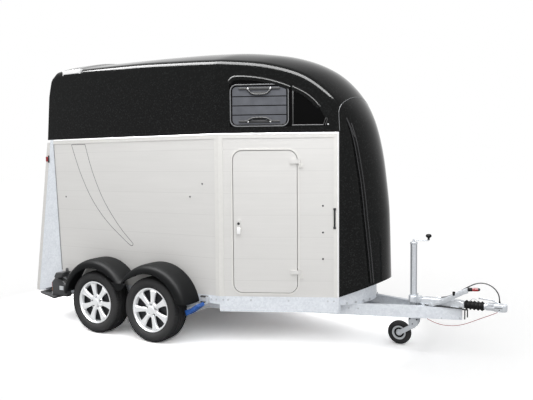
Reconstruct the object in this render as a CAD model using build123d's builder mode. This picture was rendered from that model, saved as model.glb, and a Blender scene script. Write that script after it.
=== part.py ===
from build123d import *
from math import atan2, cos, hypot, pi, radians, sin, tan
import os

os.makedirs("parts", exist_ok=True)

# Horse trailer for two horses, in millimetres: +X towards the car, +Y left, +Z up.
# Lengths along X are measured from the middle between the two axles; at() puts them in the
# trailer's own frame, whose origin is on the ground below the middle of the whole length.
REAR_REACH = 1432.0
COUPLING_REACH = 3321.0
AXLE_MID_X = (REAR_REACH - COUPLING_REACH) / 2


def at(x):
    return AXLE_MID_X + x


# Body: a parallel rear part and a front part that tapers to the corner posts
HALF_WIDTH = 850.0
KINK_X = 990.0
TAPER_DEG = 24.0
POST_X = 1968.0
WALL_T = 25.0
WALL_BOTTOM_Z = 465.0
WALL_TOP_Z = 1887.0
HOOD_BOTTOM_Z = 1933.0
WALL_REAR_X = 416.0 - REAR_REACH
WALL_REAR_LEAN_DEG = 3.5
FLOOR_T = 25.0
SEAT_GAP = 0.3
MOVING_GAP = 5.0

# Wheels and axles
AXLE_HALF_SPACING = 350.0
TYRE_R = 307.5
TYRE_W = 195.0
TYRE_MID_Y = HALF_WIDTH + 120.0
BEAD_R = TYRE_R - 117.5
RIM_FLANGE_R = BEAD_R + 18.0
BARREL_T = 8.0
RIM_FACE_Y = TYRE_MID_Y + 87.0
WHEEL_SEAT_Y = TYRE_MID_Y + 30.0
HUB_R = 72.0
SPOKES = 7
SPOKE_W = 44.0
SPOKE_T = 24.0
DRUM_R = 122.0
DRUM_INNER_Y = TYRE_MID_Y - 65.0
ARM_LENGTH = 160.0
ARM_T = 40.0
AXLE_TUBE = 70.0
AXLE_END_Y = HALF_WIDTH - 50.0
STUB_R = 20.0
BEARING_GAP = 0.1

# Frame
RAIL_TOP_Z = 390.0
RAIL_H = 106.0
RAIL_T = 4.0
RAIL_FLANGE = 45.0
RAIL_REAR_Y = HALF_WIDTH - 96.6
RAIL_APEX_X = COUPLING_REACH - 366.0
BEAM_FRONT_X = 142.0 - REAR_REACH
RAIL_BEND_X = AXLE_HALF_SPACING
RAIL_SLOPE = RAIL_REAR_Y / (RAIL_APEX_X - RAIL_BEND_X)
SILL_T = 50.0
FRONT_SILL_BOTTOM_Z = 325.0
CROSS_W = 50.0
CROSS_XS = [BEAM_FRONT_X + 50.0, WALL_REAR_X + 56.0, -560.0, -160.0, 240.0, 640.0, 1040.0, 1440.0, 1840.0]

# Rear: the ramp leans forward on the rear frame's posts
RAMP_T = 42.0
RAMP_LEAN_DEG = 8.15
RAMP_FOOT_X = -REAR_REACH
RAMP_BOTTOM_Z = 300.0
RAMP_TOP_Z = 1905.0
RAMP_HALF_WIDTH = HALF_WIDTH - 4.0
RAMP_PIN_DROP = 12.0
RAMP_HINGE_R = 10.0
RAMP_HINGE_YS = [-600.0, -200.0, 200.0, 600.0]
RAMP_HINGE_W = 60.0
MAT_T = 6.0
FIN_T = 4.0
REAR_POST = 40.0
POST_SEAT = RAMP_T + MOVING_GAP
BEAM_SEAT = RAMP_T + MAT_T + MOVING_GAP

# Side doors
DOOR_REAR_X = 1111.0
DOOR_FRONT_X = 1633.0
DOOR_BOTTOM_Z = 502.0
DOOR_TOP_Z = 1775.0
DOOR_CORNER_R = 80.0
DOOR_GAP = 5.0
DOOR_FRAME_W = 16.0
DOOR_FRAME_T = 4.0
HINGE_OUT = 12.0
HINGE_AHEAD = 26.0
HINGE_R = 6.0
HINGE_H = 36.0
HINGE_ZS = [671.0, 1660.0]

# Hood and nose shell
SHELL_T = 22.0
NOSE_TOP_Z = 2100.0
NOSE_SEAM_GAP = 4.0
NOSE_FLOOR_T = 10.0
NOSE_FLOOR_SETBACK = 5.0
NOSE_TIP_X = POST_X + 332.0
NOSE_BOTTOM_RISE = 132.0
HOOD_REAR_BOTTOM_X = 242.0 - REAR_REACH
HOOD_REAR_MID_X = 282.0 - REAR_REACH
ROOF_REAR_X = 332.0 - REAR_REACH
HOOD_REAR_MID_Z = 2400.0
WINDOW_REAR_X = 1092.0
WINDOW_FRONT_X = 1570.0
WINDOW_BOTTOM_Z = 1987.0
WINDOW_TOP_Z = 2362.0
WINDOW_CORNER_R = 60.0
WINDOW_LAP = 12.0
WINDOW_PROUD = 8.0
WINDOW_RIM = 26.0

# Hitch and jockey wheel
POST_AXIS_X = COUPLING_REACH - 795.0
POST_R = 30.0
POST_WALL = 4.0
POST_TOP_Z = 937.0
POST_BOTTOM_Z = 300.0
JOCKEY_R = 107.5
JOCKEY_W = 60.0
JOCKEY_TRAIL = 126.0
HOUSING_REAR_X = COUPLING_REACH - 721.0
HOUSING_FRONT_X = COUPLING_REACH - 346.0
HOUSING_W = 104.0
HOUSING_TOP_Z = 458.0
TUBE_Z = 425.0
TUBE_R = 25.0
HEAD_REAR_X = COUPLING_REACH - 171.0
BALL_X = COUPLING_REACH - 59.0

TAPER_COS = cos(radians(TAPER_DEG))
TAPER_SIN = sin(radians(TAPER_DEG))
TAPER_TAN = tan(radians(TAPER_DEG))
SIDE = Plane.XZ.offset(HALF_WIDTH)
TAPER = Plane(
    origin=(at(KINK_X), -HALF_WIDTH, 0),
    x_dir=(TAPER_COS, TAPER_SIN, 0),
    z_dir=(TAPER_SIN, -TAPER_COS, 0),
)
RAMP_PLANE = Plane(
    origin=(at(RAMP_FOOT_X), 0, RAMP_BOTTOM_Z),
    x_dir=(0, -1, 0),
    z_dir=(-cos(radians(RAMP_LEAN_DEG)), 0, sin(radians(RAMP_LEAN_DEG))),
)
BIG = 3000.0


def along(x):
    """Distance along the tapered wall from the kink to the given X."""
    return (x - KINK_X) / TAPER_COS


def half_width(x):
    """Half the body's outer width at the given X."""
    return HALF_WIDTH - max(x - KINK_X, 0) * TAPER_TAN


def rail_y(x):
    """Distance of a frame rail's outer face from the centre plane."""
    return (RAIL_APEX_X - max(x, RAIL_BEND_X)) * RAIL_SLOPE


def kink_point(inset):
    """Corner of the body's plan outline at the right kink, moved in by the inset."""
    return (at(KINK_X - inset * tan(radians(TAPER_DEG / 2))), -(HALF_WIDTH - inset))


def front_point(inset, x=POST_X):
    """Point of the tapered side, moved in by the inset, at the given X."""
    return (at(x), -(half_width(x) - inset / TAPER_COS))


def rear_point(inset, x=WALL_REAR_X):
    return (at(x), -(HALF_WIDTH - inset))


def ramp_x(z, depth=0):
    """X of the ramp's plane at a height, the given depth in from its outer face."""
    lean = radians(RAMP_LEAN_DEG)
    return RAMP_FOOT_X + (z - RAMP_BOTTOM_Z) * tan(lean) + depth / cos(lean)


def wall_rear_x(z):
    """X of the rear edge of the side walls at a height."""
    return WALL_REAR_X - (z - WALL_BOTTOM_Z) * tan(radians(WALL_REAR_LEAN_DEG))


def save(part, name):
    part.label = name
    export_step(part, f"parts/{name}.step")


def save_pair(right, name):
    save(right, f"{name}_right")
    save(mirror(right, about=Plane.XZ), f"{name}_left")


def column(points, bottom, top, mode=Mode.ADD):
    """Upright prism on a plan outline, in the part that is being built."""
    with BuildSketch(Plane.XY.offset(bottom)) as outline:
        with BuildLine():
            Polyline(*points, close=True)
        make_face()
    extrude(outline.sketch, amount=top - bottom, mode=mode)


def panel(plane, points, amount, mode=Mode.ADD):
    """Flat piece on an outline in the given plane, in the part that is being built."""
    with BuildSketch(plane) as outline:
        with BuildLine():
            Polyline(*points, close=True)
        make_face()
    extrude(outline.sketch, amount=amount, mode=mode)


def block(x0, x1, y0, y1, z0, z1, mode=Mode.ADD):
    """Box between two corners, X measured from the middle between the axles."""
    with BuildSketch(Plane.XY.offset(z0)) as outline:
        with Locations((at((x0 + x1) / 2), (y0 + y1) / 2)):
            Rectangle(x1 - x0, y1 - y0)
    extrude(outline.sketch, amount=z1 - z0, mode=mode)


# Frame rails: a C section each side, straight under the body and drawn in to the coupling
RAIL_BOTTOM_Z = RAIL_TOP_Z - RAIL_H
with BuildPart() as rail:
    column(
        [
            (at(BEAM_FRONT_X), -RAIL_REAR_Y),
            (at(RAIL_BEND_X), -RAIL_REAR_Y),
            (at(RAIL_APEX_X), 0),
            (at(RAIL_APEX_X - RAIL_FLANGE / RAIL_SLOPE), 0),
            (at(RAIL_BEND_X), RAIL_FLANGE - RAIL_REAR_Y),
            (at(BEAM_FRONT_X), RAIL_FLANGE - RAIL_REAR_Y),
        ],
        RAIL_BOTTOM_Z,
        RAIL_TOP_Z,
    )
    column(
        [
            (at(BEAM_FRONT_X) - 1, RAIL_T - RAIL_REAR_Y),
            (at(RAIL_BEND_X), RAIL_T - RAIL_REAR_Y),
            (at(RAIL_APEX_X - RAIL_T / RAIL_SLOPE), 0),
            (at(RAIL_APEX_X - RAIL_T / RAIL_SLOPE), RAIL_FLANGE),
            (at(RAIL_BEND_X), 2 * RAIL_FLANGE - RAIL_REAR_Y),
            (at(BEAM_FRONT_X) - 1, 2 * RAIL_FLANGE - RAIL_REAR_Y),
        ],
        RAIL_BOTTOM_Z + RAIL_T,
        RAIL_TOP_Z - RAIL_T,
        mode=Mode.SUBTRACT,
    )
save_pair(rail.part, "frame_rail")

# Cross members lie on the rails between the sills and carry the floor
FLOOR_BOTTOM_Z = WALL_BOTTOM_Z - FLOOR_T
with BuildPart() as cross_members:
    for x in CROSS_XS:
        front_edge = x + CROSS_W / 2
        reach = half_width(front_edge) - (SILL_T + SEAT_GAP) / TAPER_COS
        block(x - CROSS_W / 2, front_edge, -reach, reach, RAIL_TOP_Z, FLOOR_BOTTOM_Z)
save(cross_members.part, "cross_members")

# Sills: the outer frame that the walls stand on, deeper below the tapered walls
with BuildPart() as sills:
    column(
        [rear_point(0), kink_point(0), kink_point(SILL_T), rear_point(SILL_T)],
        RAIL_TOP_Z,
        WALL_BOTTOM_Z,
    )
    column(
        [kink_point(0), front_point(0), front_point(SILL_T), kink_point(SILL_T)],
        FRONT_SILL_BOTTOM_Z,
        WALL_BOTTOM_Z,
    )
    mirror(about=Plane.XZ)
save(sills.part, "sills")

# Floor between the sills and, behind them, between the rear frame's side sheets
with BuildPart() as floor:
    inset = SILL_T + SEAT_GAP
    post_front_x = ramp_x(WALL_BOTTOM_Z, POST_SEAT + REAR_POST) + SEAT_GAP
    right_edge = [
        rear_point(REAR_POST + SEAT_GAP, ramp_x(WALL_BOTTOM_Z, BEAM_SEAT)),
        rear_point(REAR_POST + SEAT_GAP, post_front_x),
        rear_point(FIN_T + SEAT_GAP, post_front_x),
        rear_point(FIN_T + SEAT_GAP, WALL_REAR_X - SEAT_GAP),
        rear_point(inset, WALL_REAR_X - SEAT_GAP),
        kink_point(inset),
        front_point(inset),
    ]
    left_edge = [(x, -y) for x, y in reversed(right_edge)]
    column(right_edge + left_edge, FLOOR_BOTTOM_Z, WALL_BOTTOM_Z)
save(floor.part, "floor")

# Rear side walls, their rear edge leaning forward at the foot
WALL_END_X = WALL_REAR_X - 200
with BuildPart() as rear_walls:
    column(
        [rear_point(0, WALL_END_X), kink_point(0), kink_point(WALL_T), rear_point(WALL_T, WALL_END_X)],
        WALL_BOTTOM_Z,
        WALL_TOP_Z,
    )
    panel(
        SIDE.offset(1),
        [
            (at(wall_rear_x(WALL_BOTTOM_Z)), WALL_BOTTOM_Z),
            (at(wall_rear_x(WALL_TOP_Z)), WALL_TOP_Z),
            (at(wall_rear_x(WALL_TOP_Z) - 400), WALL_TOP_Z),
            (at(wall_rear_x(WALL_TOP_Z) - 400), WALL_BOTTOM_Z),
        ],
        -WALL_T - 2,
        mode=Mode.SUBTRACT,
    )
    mirror(about=Plane.XZ)
save(rear_walls.part, "rear_walls")

# Tapered front walls with the doorway
DOOR_MID = (along(DOOR_REAR_X) + along(DOOR_FRONT_X)) / 2
DOOR_W = along(DOOR_FRONT_X) - along(DOOR_REAR_X)
DOOR_H = DOOR_TOP_Z - DOOR_BOTTOM_Z
DOOR_MID_Z = (DOOR_TOP_Z + DOOR_BOTTOM_Z) / 2
with BuildPart() as front_walls:
    column(
        [kink_point(0), front_point(0), front_point(WALL_T), kink_point(WALL_T)],
        WALL_BOTTOM_Z,
        WALL_TOP_Z,
    )
    with BuildSketch(TAPER.offset(1)):
        with Locations((DOOR_MID, DOOR_MID_Z)):
            RectangleRounded(DOOR_W + 2 * DOOR_GAP, DOOR_H + 2 * DOOR_GAP, DOOR_CORNER_R + DOOR_GAP)
    extrude(amount=-WALL_T - 2, mode=Mode.SUBTRACT)
    mirror(about=Plane.XZ)
save(front_walls.part, "front_walls")

# Door frames: a flat trim round each doorway, with the fixed half of the hinges
HINGE_AXIS = along(DOOR_FRONT_X) + HINGE_AHEAD
HINGE_PIN = TAPER.from_local_coords(Vector(HINGE_AXIS, 0, HINGE_OUT))
with BuildPart() as door_frames:
    with BuildSketch(TAPER):
        with Locations((DOOR_MID, DOOR_MID_Z)):
            RectangleRounded(
                DOOR_W + 2 * DOOR_GAP + 2 * DOOR_FRAME_W,
                DOOR_H + 2 * DOOR_GAP + 2 * DOOR_FRAME_W,
                DOOR_CORNER_R + DOOR_GAP + DOOR_FRAME_W,
            )
            RectangleRounded(
                DOOR_W + 2 * DOOR_GAP, DOOR_H + 2 * DOOR_GAP, DOOR_CORNER_R + DOOR_GAP, mode=Mode.SUBTRACT
            )
    extrude(amount=DOOR_FRAME_T)
    for z in HINGE_ZS:
        with BuildSketch(Plane.XY.offset(z - HINGE_H)):
            with Locations((HINGE_PIN.X, HINGE_PIN.Y)):
                Circle(HINGE_R)
        extrude(amount=HINGE_H - SEAT_GAP)
        panel(
            TAPER,
            [
                (HINGE_AXIS - HINGE_R + 1, z - HINGE_H),
                (HINGE_AXIS + 28, z - HINGE_H),
                (HINGE_AXIS + 28, z - SEAT_GAP),
                (HINGE_AXIS - HINGE_R + 1, z - SEAT_GAP),
            ],
            HINGE_OUT - 2,
        )
    mirror(about=Plane.XZ)
save(door_frames.part, "door_frames")

# Side doors, hinged at their front edge, with the moving half of the hinges and the handle
HANDLE_Z = 1058.0
LOCK_Z = 1126.0
HANDLE_INSET = 48.0
with BuildPart() as side_door:
    with BuildSketch(TAPER):
        with Locations((DOOR_MID, DOOR_MID_Z)):
            RectangleRounded(DOOR_W, DOOR_H, DOOR_CORNER_R)
    extrude(amount=-WALL_T)
    for z in HINGE_ZS:
        with BuildSketch(Plane.XY.offset(z)):
            with Locations((HINGE_PIN.X, HINGE_PIN.Y)):
                Circle(HINGE_R)
        extrude(amount=HINGE_H)
        panel(
            TAPER.offset(HINGE_OUT - 3),
            [
                (along(DOOR_FRONT_X) - 60, z),
                (HINGE_AXIS, z),
                (HINGE_AXIS, z + HINGE_H),
                (along(DOOR_FRONT_X) - 60, z + HINGE_H),
            ],
            5,
        )
        panel(
            TAPER,
            [
                (along(DOOR_FRONT_X) - 60, z),
                (along(DOOR_FRONT_X) - 8, z),
                (along(DOOR_FRONT_X) - 8, z + HINGE_H),
                (along(DOOR_FRONT_X) - 60, z + HINGE_H),
            ],
            HINGE_OUT - 3,
        )
    with BuildSketch(TAPER):
        with Locations((along(DOOR_REAR_X) + HANDLE_INSET, (HANDLE_Z + LOCK_Z) / 2)):
            RectangleRounded(34, 130, 10)
    extrude(amount=16)
save_pair(side_door.part, "side_door")

# Corner posts: trims outside the kink and the front corner
POST_LEG = 38.0
TRIM_T = 5.0
with BuildPart() as corner_posts:
    column(
        [
            rear_point(0, KINK_X - POST_LEG),
            kink_point(0),
            front_point(0, KINK_X + POST_LEG),
            front_point(-TRIM_T, KINK_X + POST_LEG),
            kink_point(-TRIM_T),
            rear_point(-TRIM_T, KINK_X - POST_LEG),
        ],
        WALL_BOTTOM_Z,
        WALL_TOP_Z,
    )
    column(
        [
            front_point(0, POST_X - POST_LEG),
            front_point(0),
            front_point(-TRIM_T),
            front_point(-TRIM_T, POST_X - POST_LEG),
        ],
        WALL_BOTTOM_Z,
        WALL_TOP_Z,
    )
    mirror(about=Plane.XZ)
save(corner_posts.part, "corner_posts")

# Top rails between walls and hood
with BuildPart() as top_rails:
    column(
        [
            rear_point(-TRIM_T, wall_rear_x(WALL_TOP_Z)),
            kink_point(-TRIM_T),
            front_point(-TRIM_T),
            front_point(WALL_T),
            kink_point(WALL_T),
            rear_point(WALL_T, wall_rear_x(WALL_TOP_Z)),
        ],
        WALL_TOP_Z,
        HOOD_BOTTOM_Z,
    )
    mirror(about=Plane.XZ)
save(top_rails.part, "top_rails")

# Hood and nose: flat sides up to a shoulder line, and a roof that arches from shoulder to
# shoulder and runs down the front as the nose.
# Columns: shoulder X, shoulder Z, crown X, crown Z
ROOF = [
    (ROOF_REAR_X, 2585.0, ROOF_REAR_X, 2745.0),
    (ROOF_REAR_X + 60.0, 2626.0, ROOF_REAR_X + 60.0, 2800.0),
    (ROOF_REAR_X + 320.0, 2628.0, ROOF_REAR_X + 320.0, 2805.0),
    (ROOF_REAR_X + 410.0, 2628.0, ROOF_REAR_X + 410.0, 2780.0),
    (0.0, 2621.0, 0.0, 2775.0),
    (500.0, 2600.0, 500.0, 2768.0),
    (KINK_X, 2572.0, KINK_X, 2742.0),
    (1285.0, 2548.0, 1330.0, 2694.0),
    (1472.0, 2511.0, 1540.0, 2635.0),
    (1661.0, 2444.0, 1760.0, 2525.0),
    (1820.0, 2330.0, 1950.0, 2350.0),
    (1916.0, 2222.0, 2075.0, 2158.0),
    (1955.0, 2080.0, 2150.0, 1985.0),
    (POST_X, HOOD_BOTTOM_Z, 2203.0, 1780.0),
    (POST_X, 1700.0, 2238.0, 1590.0),
    (POST_X, 1200.0, 2282.0, 1186.0),
    (POST_X, WALL_BOTTOM_Z, NOSE_TIP_X, WALL_BOTTOM_Z + NOSE_BOTTOM_RISE),
]


def roof_station(row, inset=0.0):
    """Shoulder and crown of one table row, moved in by the inset, with half the chord."""
    shoulder_x, shoulder_z, crown_x, crown_z = row
    rise = hypot(crown_x - shoulder_x, crown_z - shoulder_z)
    up_x = (crown_x - shoulder_x) / rise
    up_z = (crown_z - shoulder_z) / rise
    if shoulder_x == KINK_X:
        shoulder_x -= inset * tan(radians(TAPER_DEG / 2))
    else:
        shoulder_x -= inset * up_x
    shoulder_z -= inset * up_z
    taper_inset = inset / TAPER_COS if shoulder_x > KINK_X else inset
    half = half_width(shoulder_x) - taper_inset
    plane = Plane(origin=(at(shoulder_x), 0, shoulder_z), x_dir=(0, 1, 0), z_dir=(up_z, 0, -up_x))
    return shoulder_x, shoulder_z, half, rise, plane


def roof_segment(row, inset):
    """Area between the chord from shoulder to shoulder and the arch over it."""
    _, _, half, rise, plane = roof_station(row, inset)
    with BuildSketch(plane) as segment:
        with BuildLine():
            ThreePointArc((-half, 0), (0, rise), (half, 0))
            Line((half, 0), (-half, 0))
        make_face()
    return segment.sketch


def filled_shell(inset, rear_edge, base):
    """Solid form of hood and nose, moved in by the inset."""
    rows = list(ROOF)
    if inset:
        rows[0] = (-BIG / 2, ROOF[1][1], -BIG / 2, ROOF[1][3])
    profile = [(at(x), z) for x, z in rear_edge]
    profile += [(at(roof_station(row, inset)[0]), roof_station(row, inset)[1]) for row in rows]
    profile += [(at(rear_edge[0][0]), WALL_BOTTOM_Z)]
    right_edge = [rear_point(inset, -BIG / 2), kink_point(inset), front_point(inset, POST_X + 100)]
    left_edge = [(x, -y) for x, y in reversed(right_edge)]
    with BuildPart() as form:
        column(right_edge + left_edge, base, BIG)
        panel(SIDE.offset(1), profile, -2 * HALF_WIDTH - 2, mode=Mode.INTERSECT)
        loft([roof_segment(row, inset) for row in rows], ruled=True)
    return form.part


WINDOW_MID = (along(WINDOW_REAR_X) + along(WINDOW_FRONT_X)) / 2
WINDOW_MID_Z = (WINDOW_BOTTOM_Z + WINDOW_TOP_Z) / 2
WINDOW_W = along(WINDOW_FRONT_X) - along(WINDOW_REAR_X)
WINDOW_H = WINDOW_TOP_Z - WINDOW_BOTTOM_Z
with BuildPart() as window_holes:
    with BuildSketch(TAPER.offset(1)):
        with Locations((WINDOW_MID, WINDOW_MID_Z)):
            RectangleRounded(
                WINDOW_W - 2 * WINDOW_LAP, WINDOW_H - 2 * WINDOW_LAP, WINDOW_CORNER_R - WINDOW_LAP
            )
    extrude(amount=-SHELL_T - 2)
    mirror(about=Plane.XZ)

outer_form = filled_shell(
    0.0, [(HOOD_REAR_BOTTOM_X, HOOD_BOTTOM_Z), (HOOD_REAR_MID_X, HOOD_REAR_MID_Z)], HOOD_BOTTOM_Z
)
inner_form = filled_shell(SHELL_T, [(-BIG / 2, WALL_BOTTOM_Z)], HOOD_BOTTOM_Z - SHELL_T)
with BuildPart() as shell:
    add(outer_form)
    add(inner_form, mode=Mode.SUBTRACT)
    add(window_holes.part, mode=Mode.SUBTRACT)

# The nose is a panel of its own below the seam, closed underneath by its turned-in floor
with BuildPart() as hood:
    add(shell.part)
    block(POST_X, POST_X + BIG, -BIG, BIG, 0, NOSE_TOP_Z, mode=Mode.SUBTRACT)
save(hood.part, "hood")

_, _, nose_half, nose_rise, nose_plane = roof_station(ROOF[-1])
with BuildPart() as nose:
    add(shell.part)
    block(
        POST_X + SEAT_GAP, POST_X + BIG, -BIG, BIG, 0, NOSE_TOP_Z - NOSE_SEAM_GAP, mode=Mode.INTERSECT
    )
    with BuildSketch(nose_plane):
        with BuildLine():
            floor_edge = nose_half - SHELL_T / 2
            ThreePointArc(
                (-floor_edge, NOSE_FLOOR_SETBACK), (0, nose_rise - SHELL_T / 2), (floor_edge, NOSE_FLOOR_SETBACK)
            )
            Line((floor_edge, NOSE_FLOOR_SETBACK), (-floor_edge, NOSE_FLOOR_SETBACK))
        make_face()
    extrude(amount=-NOSE_FLOOR_T)
save(nose.part, "nose")

# Front plate: a bent galvanised sheet from the rails up to the nose's floor
PLATE_FRONT_X = NOSE_TIP_X - 148.0
PLATE_T = 4.0
with BuildPart() as front_plate:
    plate_half = nose_half - SHELL_T - 8
    with BuildSketch(Plane.XY.offset(RAIL_TOP_Z)):
        with BuildLine():
            ThreePointArc((at(POST_X), -plate_half), (at(PLATE_FRONT_X), 0), (at(POST_X), plate_half))
            Line((at(POST_X), plate_half), (at(POST_X), plate_half - PLATE_T))
            ThreePointArc(
                (at(POST_X), plate_half - PLATE_T),
                (at(PLATE_FRONT_X - PLATE_T), 0),
                (at(POST_X), PLATE_T - plate_half),
            )
            Line((at(POST_X), PLATE_T - plate_half), (at(POST_X), -plate_half))
        make_face()
    extrude(amount=NOSE_BOTTOM_RISE * 2)
    split(bisect_by=nose_plane.offset(SEAT_GAP), keep=Keep.TOP)
save(front_plate.part, "front_plate")

# Windows: a raised frame round a slotted shutter
with BuildPart() as window_frames:
    with BuildSketch(TAPER.offset(WINDOW_PROUD)):
        with Locations((WINDOW_MID, WINDOW_MID_Z)):
            RectangleRounded(WINDOW_W, WINDOW_H, WINDOW_CORNER_R)
            RectangleRounded(
                WINDOW_W - 2 * WINDOW_RIM,
                WINDOW_H - 2 * WINDOW_RIM,
                WINDOW_CORNER_R - WINDOW_RIM,
                mode=Mode.SUBTRACT,
            )
    extrude(amount=-WINDOW_PROUD)
    mirror(about=Plane.XZ)
save(window_frames.part, "window_frames")

SHUTTER_T = 12.0
SHUTTER_SLOT = 8.0
SHUTTER_SLOTS = 3
with BuildPart() as window_shutters:
    shutter_w = WINDOW_W - 2 * WINDOW_LAP - 2 * SEAT_GAP
    shutter_h = WINDOW_H - 2 * WINDOW_LAP - 2 * SEAT_GAP
    with BuildSketch(TAPER.offset(-SEAT_GAP)):
        with Locations((WINDOW_MID, WINDOW_MID_Z)):
            RectangleRounded(shutter_w, shutter_h, WINDOW_CORNER_R - WINDOW_LAP)
    extrude(amount=-SHUTTER_T)
    with BuildSketch(TAPER.offset(-SEAT_GAP)):
        for slot in range(SHUTTER_SLOTS):
            height = WINDOW_MID_Z + (slot - (SHUTTER_SLOTS - 1) / 2) * WINDOW_H / (SHUTTER_SLOTS + 1.5)
            with Locations((WINDOW_MID, height)):
                Rectangle(WINDOW_W - 3 * WINDOW_RIM, SHUTTER_SLOT)
    extrude(amount=-SHUTTER_T / 3, mode=Mode.SUBTRACT)
    mirror(about=Plane.XZ)
save(window_shutters.part, "window_shutters")

# Rear frame: side fins, sloping posts, foot beam and the fixed half of the ramp's hinges
FIN_FOOT_X = 323.0 - REAR_REACH
FIN_FOOT_Z = 368.0
LUG_HALF = 7.0
BUMPER_BAR_X = 92.0 - REAR_REACH
SIDE_GAP = 4.0
RAMP_PIN = RAMP_PLANE.from_local_coords(Vector(0, -RAMP_PIN_DROP, -RAMP_T))
with BuildPart() as rear_frame:
    panel(
        SIDE,
        [
            (at(WALL_REAR_X), RAIL_TOP_Z),
            (at(wall_rear_x(WALL_BOTTOM_Z)), WALL_BOTTOM_Z),
            (at(wall_rear_x(WALL_TOP_Z)), WALL_TOP_Z),
            (at(wall_rear_x(WALL_TOP_Z)), HOOD_BOTTOM_Z),
            (at(ramp_x(HOOD_BOTTOM_Z, POST_SEAT)), HOOD_BOTTOM_Z),
            (at(ramp_x(RAMP_BOTTOM_Z, POST_SEAT)), RAMP_BOTTOM_Z),
            (at(FIN_FOOT_X), FIN_FOOT_Z),
        ],
        -FIN_T,
    )
    panel(
        SIDE,
        [
            (at(ramp_x(HOOD_BOTTOM_Z, POST_SEAT)), HOOD_BOTTOM_Z),
            (at(ramp_x(RAMP_BOTTOM_Z, POST_SEAT)), RAMP_BOTTOM_Z),
            (at(ramp_x(RAMP_BOTTOM_Z, POST_SEAT + REAR_POST)), RAMP_BOTTOM_Z),
            (at(ramp_x(HOOD_BOTTOM_Z, POST_SEAT + REAR_POST)), HOOD_BOTTOM_Z),
        ],
        -REAR_POST,
    )
    mirror(about=Plane.XZ)
    panel(
        SIDE.offset(-FIN_T),
        [
            (at(ramp_x(RAMP_BOTTOM_Z, BEAM_SEAT)), RAMP_BOTTOM_Z),
            (at(ramp_x(FLOOR_BOTTOM_Z, BEAM_SEAT)), FLOOR_BOTTOM_Z),
            (at(BEAM_FRONT_X), FLOOR_BOTTOM_Z),
            (at(BEAM_FRONT_X), RAMP_BOTTOM_Z),
        ],
        -2 * (HALF_WIDTH - FIN_T),
    )
    for y in RAMP_HINGE_YS:
        with BuildSketch(Plane.XZ.offset(-y)):
            with Locations((RAMP_PIN.X, RAMP_PIN.Z)):
                Circle(RAMP_HINGE_R)
        extrude(amount=RAMP_HINGE_W)
        panel(
            Plane.XZ.offset(-y),
            [
                (RAMP_PIN.X, RAMP_PIN.Z - LUG_HALF),
                (at(BUMPER_BAR_X - SIDE_GAP), RAMP_PIN.Z - LUG_HALF),
                (at(BUMPER_BAR_X - SIDE_GAP), RAMP_BOTTOM_Z),
                (at(ramp_x(RAMP_BOTTOM_Z, BEAM_SEAT)), RAMP_BOTTOM_Z),
                (RAMP_PIN.X, RAMP_PIN.Z + LUG_HALF - 3),
            ],
            RAMP_HINGE_W,
        )
save(rear_frame.part, "rear_frame")

# Ramp: plank panel in a frame, with the moving half of its hinges
RAMP_LENGTH = (RAMP_TOP_Z - RAMP_BOTTOM_Z) / cos(radians(RAMP_LEAN_DEG))
with BuildPart() as ramp:
    with BuildSketch(RAMP_PLANE):
        with Locations((0, RAMP_LENGTH / 2)):
            Rectangle(2 * RAMP_HALF_WIDTH, RAMP_LENGTH)
    extrude(amount=-RAMP_T)
    for y in RAMP_HINGE_YS:
        with BuildSketch(Plane.XZ.offset(-y - RAMP_HINGE_W - SEAT_GAP)):
            with Locations((RAMP_PIN.X, RAMP_PIN.Z)):
                Circle(RAMP_HINGE_R)
        extrude(amount=RAMP_HINGE_W)
        with BuildSketch(RAMP_PLANE.offset(-RAMP_T + RAMP_HINGE_R)):
            with Locations((-y - SEAT_GAP - RAMP_HINGE_W / 2, -RAMP_PIN_DROP / 2)):
                Rectangle(RAMP_HINGE_W, RAMP_PIN_DROP + 2)
        extrude(amount=-RAMP_HINGE_R)
save(ramp.part, "ramp")

with BuildPart() as ramp_mat:
    with BuildSketch(RAMP_PLANE.offset(-RAMP_T)):
        with Locations((0, RAMP_LENGTH / 2)):
            Rectangle(2 * (HALF_WIDTH - REAR_POST) - 4 * MOVING_GAP, RAMP_LENGTH - 160)
    extrude(amount=-MAT_T)
save(ramp_mat.part, "ramp_mat")

# Rear curtain between the hood's rear edges, above the ramp
CURTAIN_T = 8.0
CURTAIN_BOTTOM_Z = RAMP_TOP_Z + 12.0
CURTAIN_TOP_Z = 2570.0
CURTAIN_RISE = 135.0
CURTAIN_X = HOOD_REAR_BOTTOM_X + 25.0
CURTAIN_TOP_X = ROOF_REAR_X + 20.0
curtain_lean = atan2(CURTAIN_TOP_X - CURTAIN_X, CURTAIN_TOP_Z - CURTAIN_BOTTOM_Z)
CURTAIN_PLANE = Plane(
    origin=(at(CURTAIN_X), 0, CURTAIN_BOTTOM_Z), x_dir=(0, -1, 0), z_dir=(-cos(curtain_lean), 0, sin(curtain_lean))
)
with BuildPart() as rear_curtain:
    half = HALF_WIDTH - SHELL_T - SEAT_GAP
    height = hypot(CURTAIN_TOP_X - CURTAIN_X, CURTAIN_TOP_Z - CURTAIN_BOTTOM_Z)
    with BuildSketch(CURTAIN_PLANE):
        with BuildLine():
            Polyline((-half, height), (-half, 0), (half, 0), (half, height))
            ThreePointArc((half, height), (0, height + CURTAIN_RISE), (-half, height))
        make_face()
    extrude(amount=-CURTAIN_T)
save(rear_curtain.part, "rear_curtain")

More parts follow.
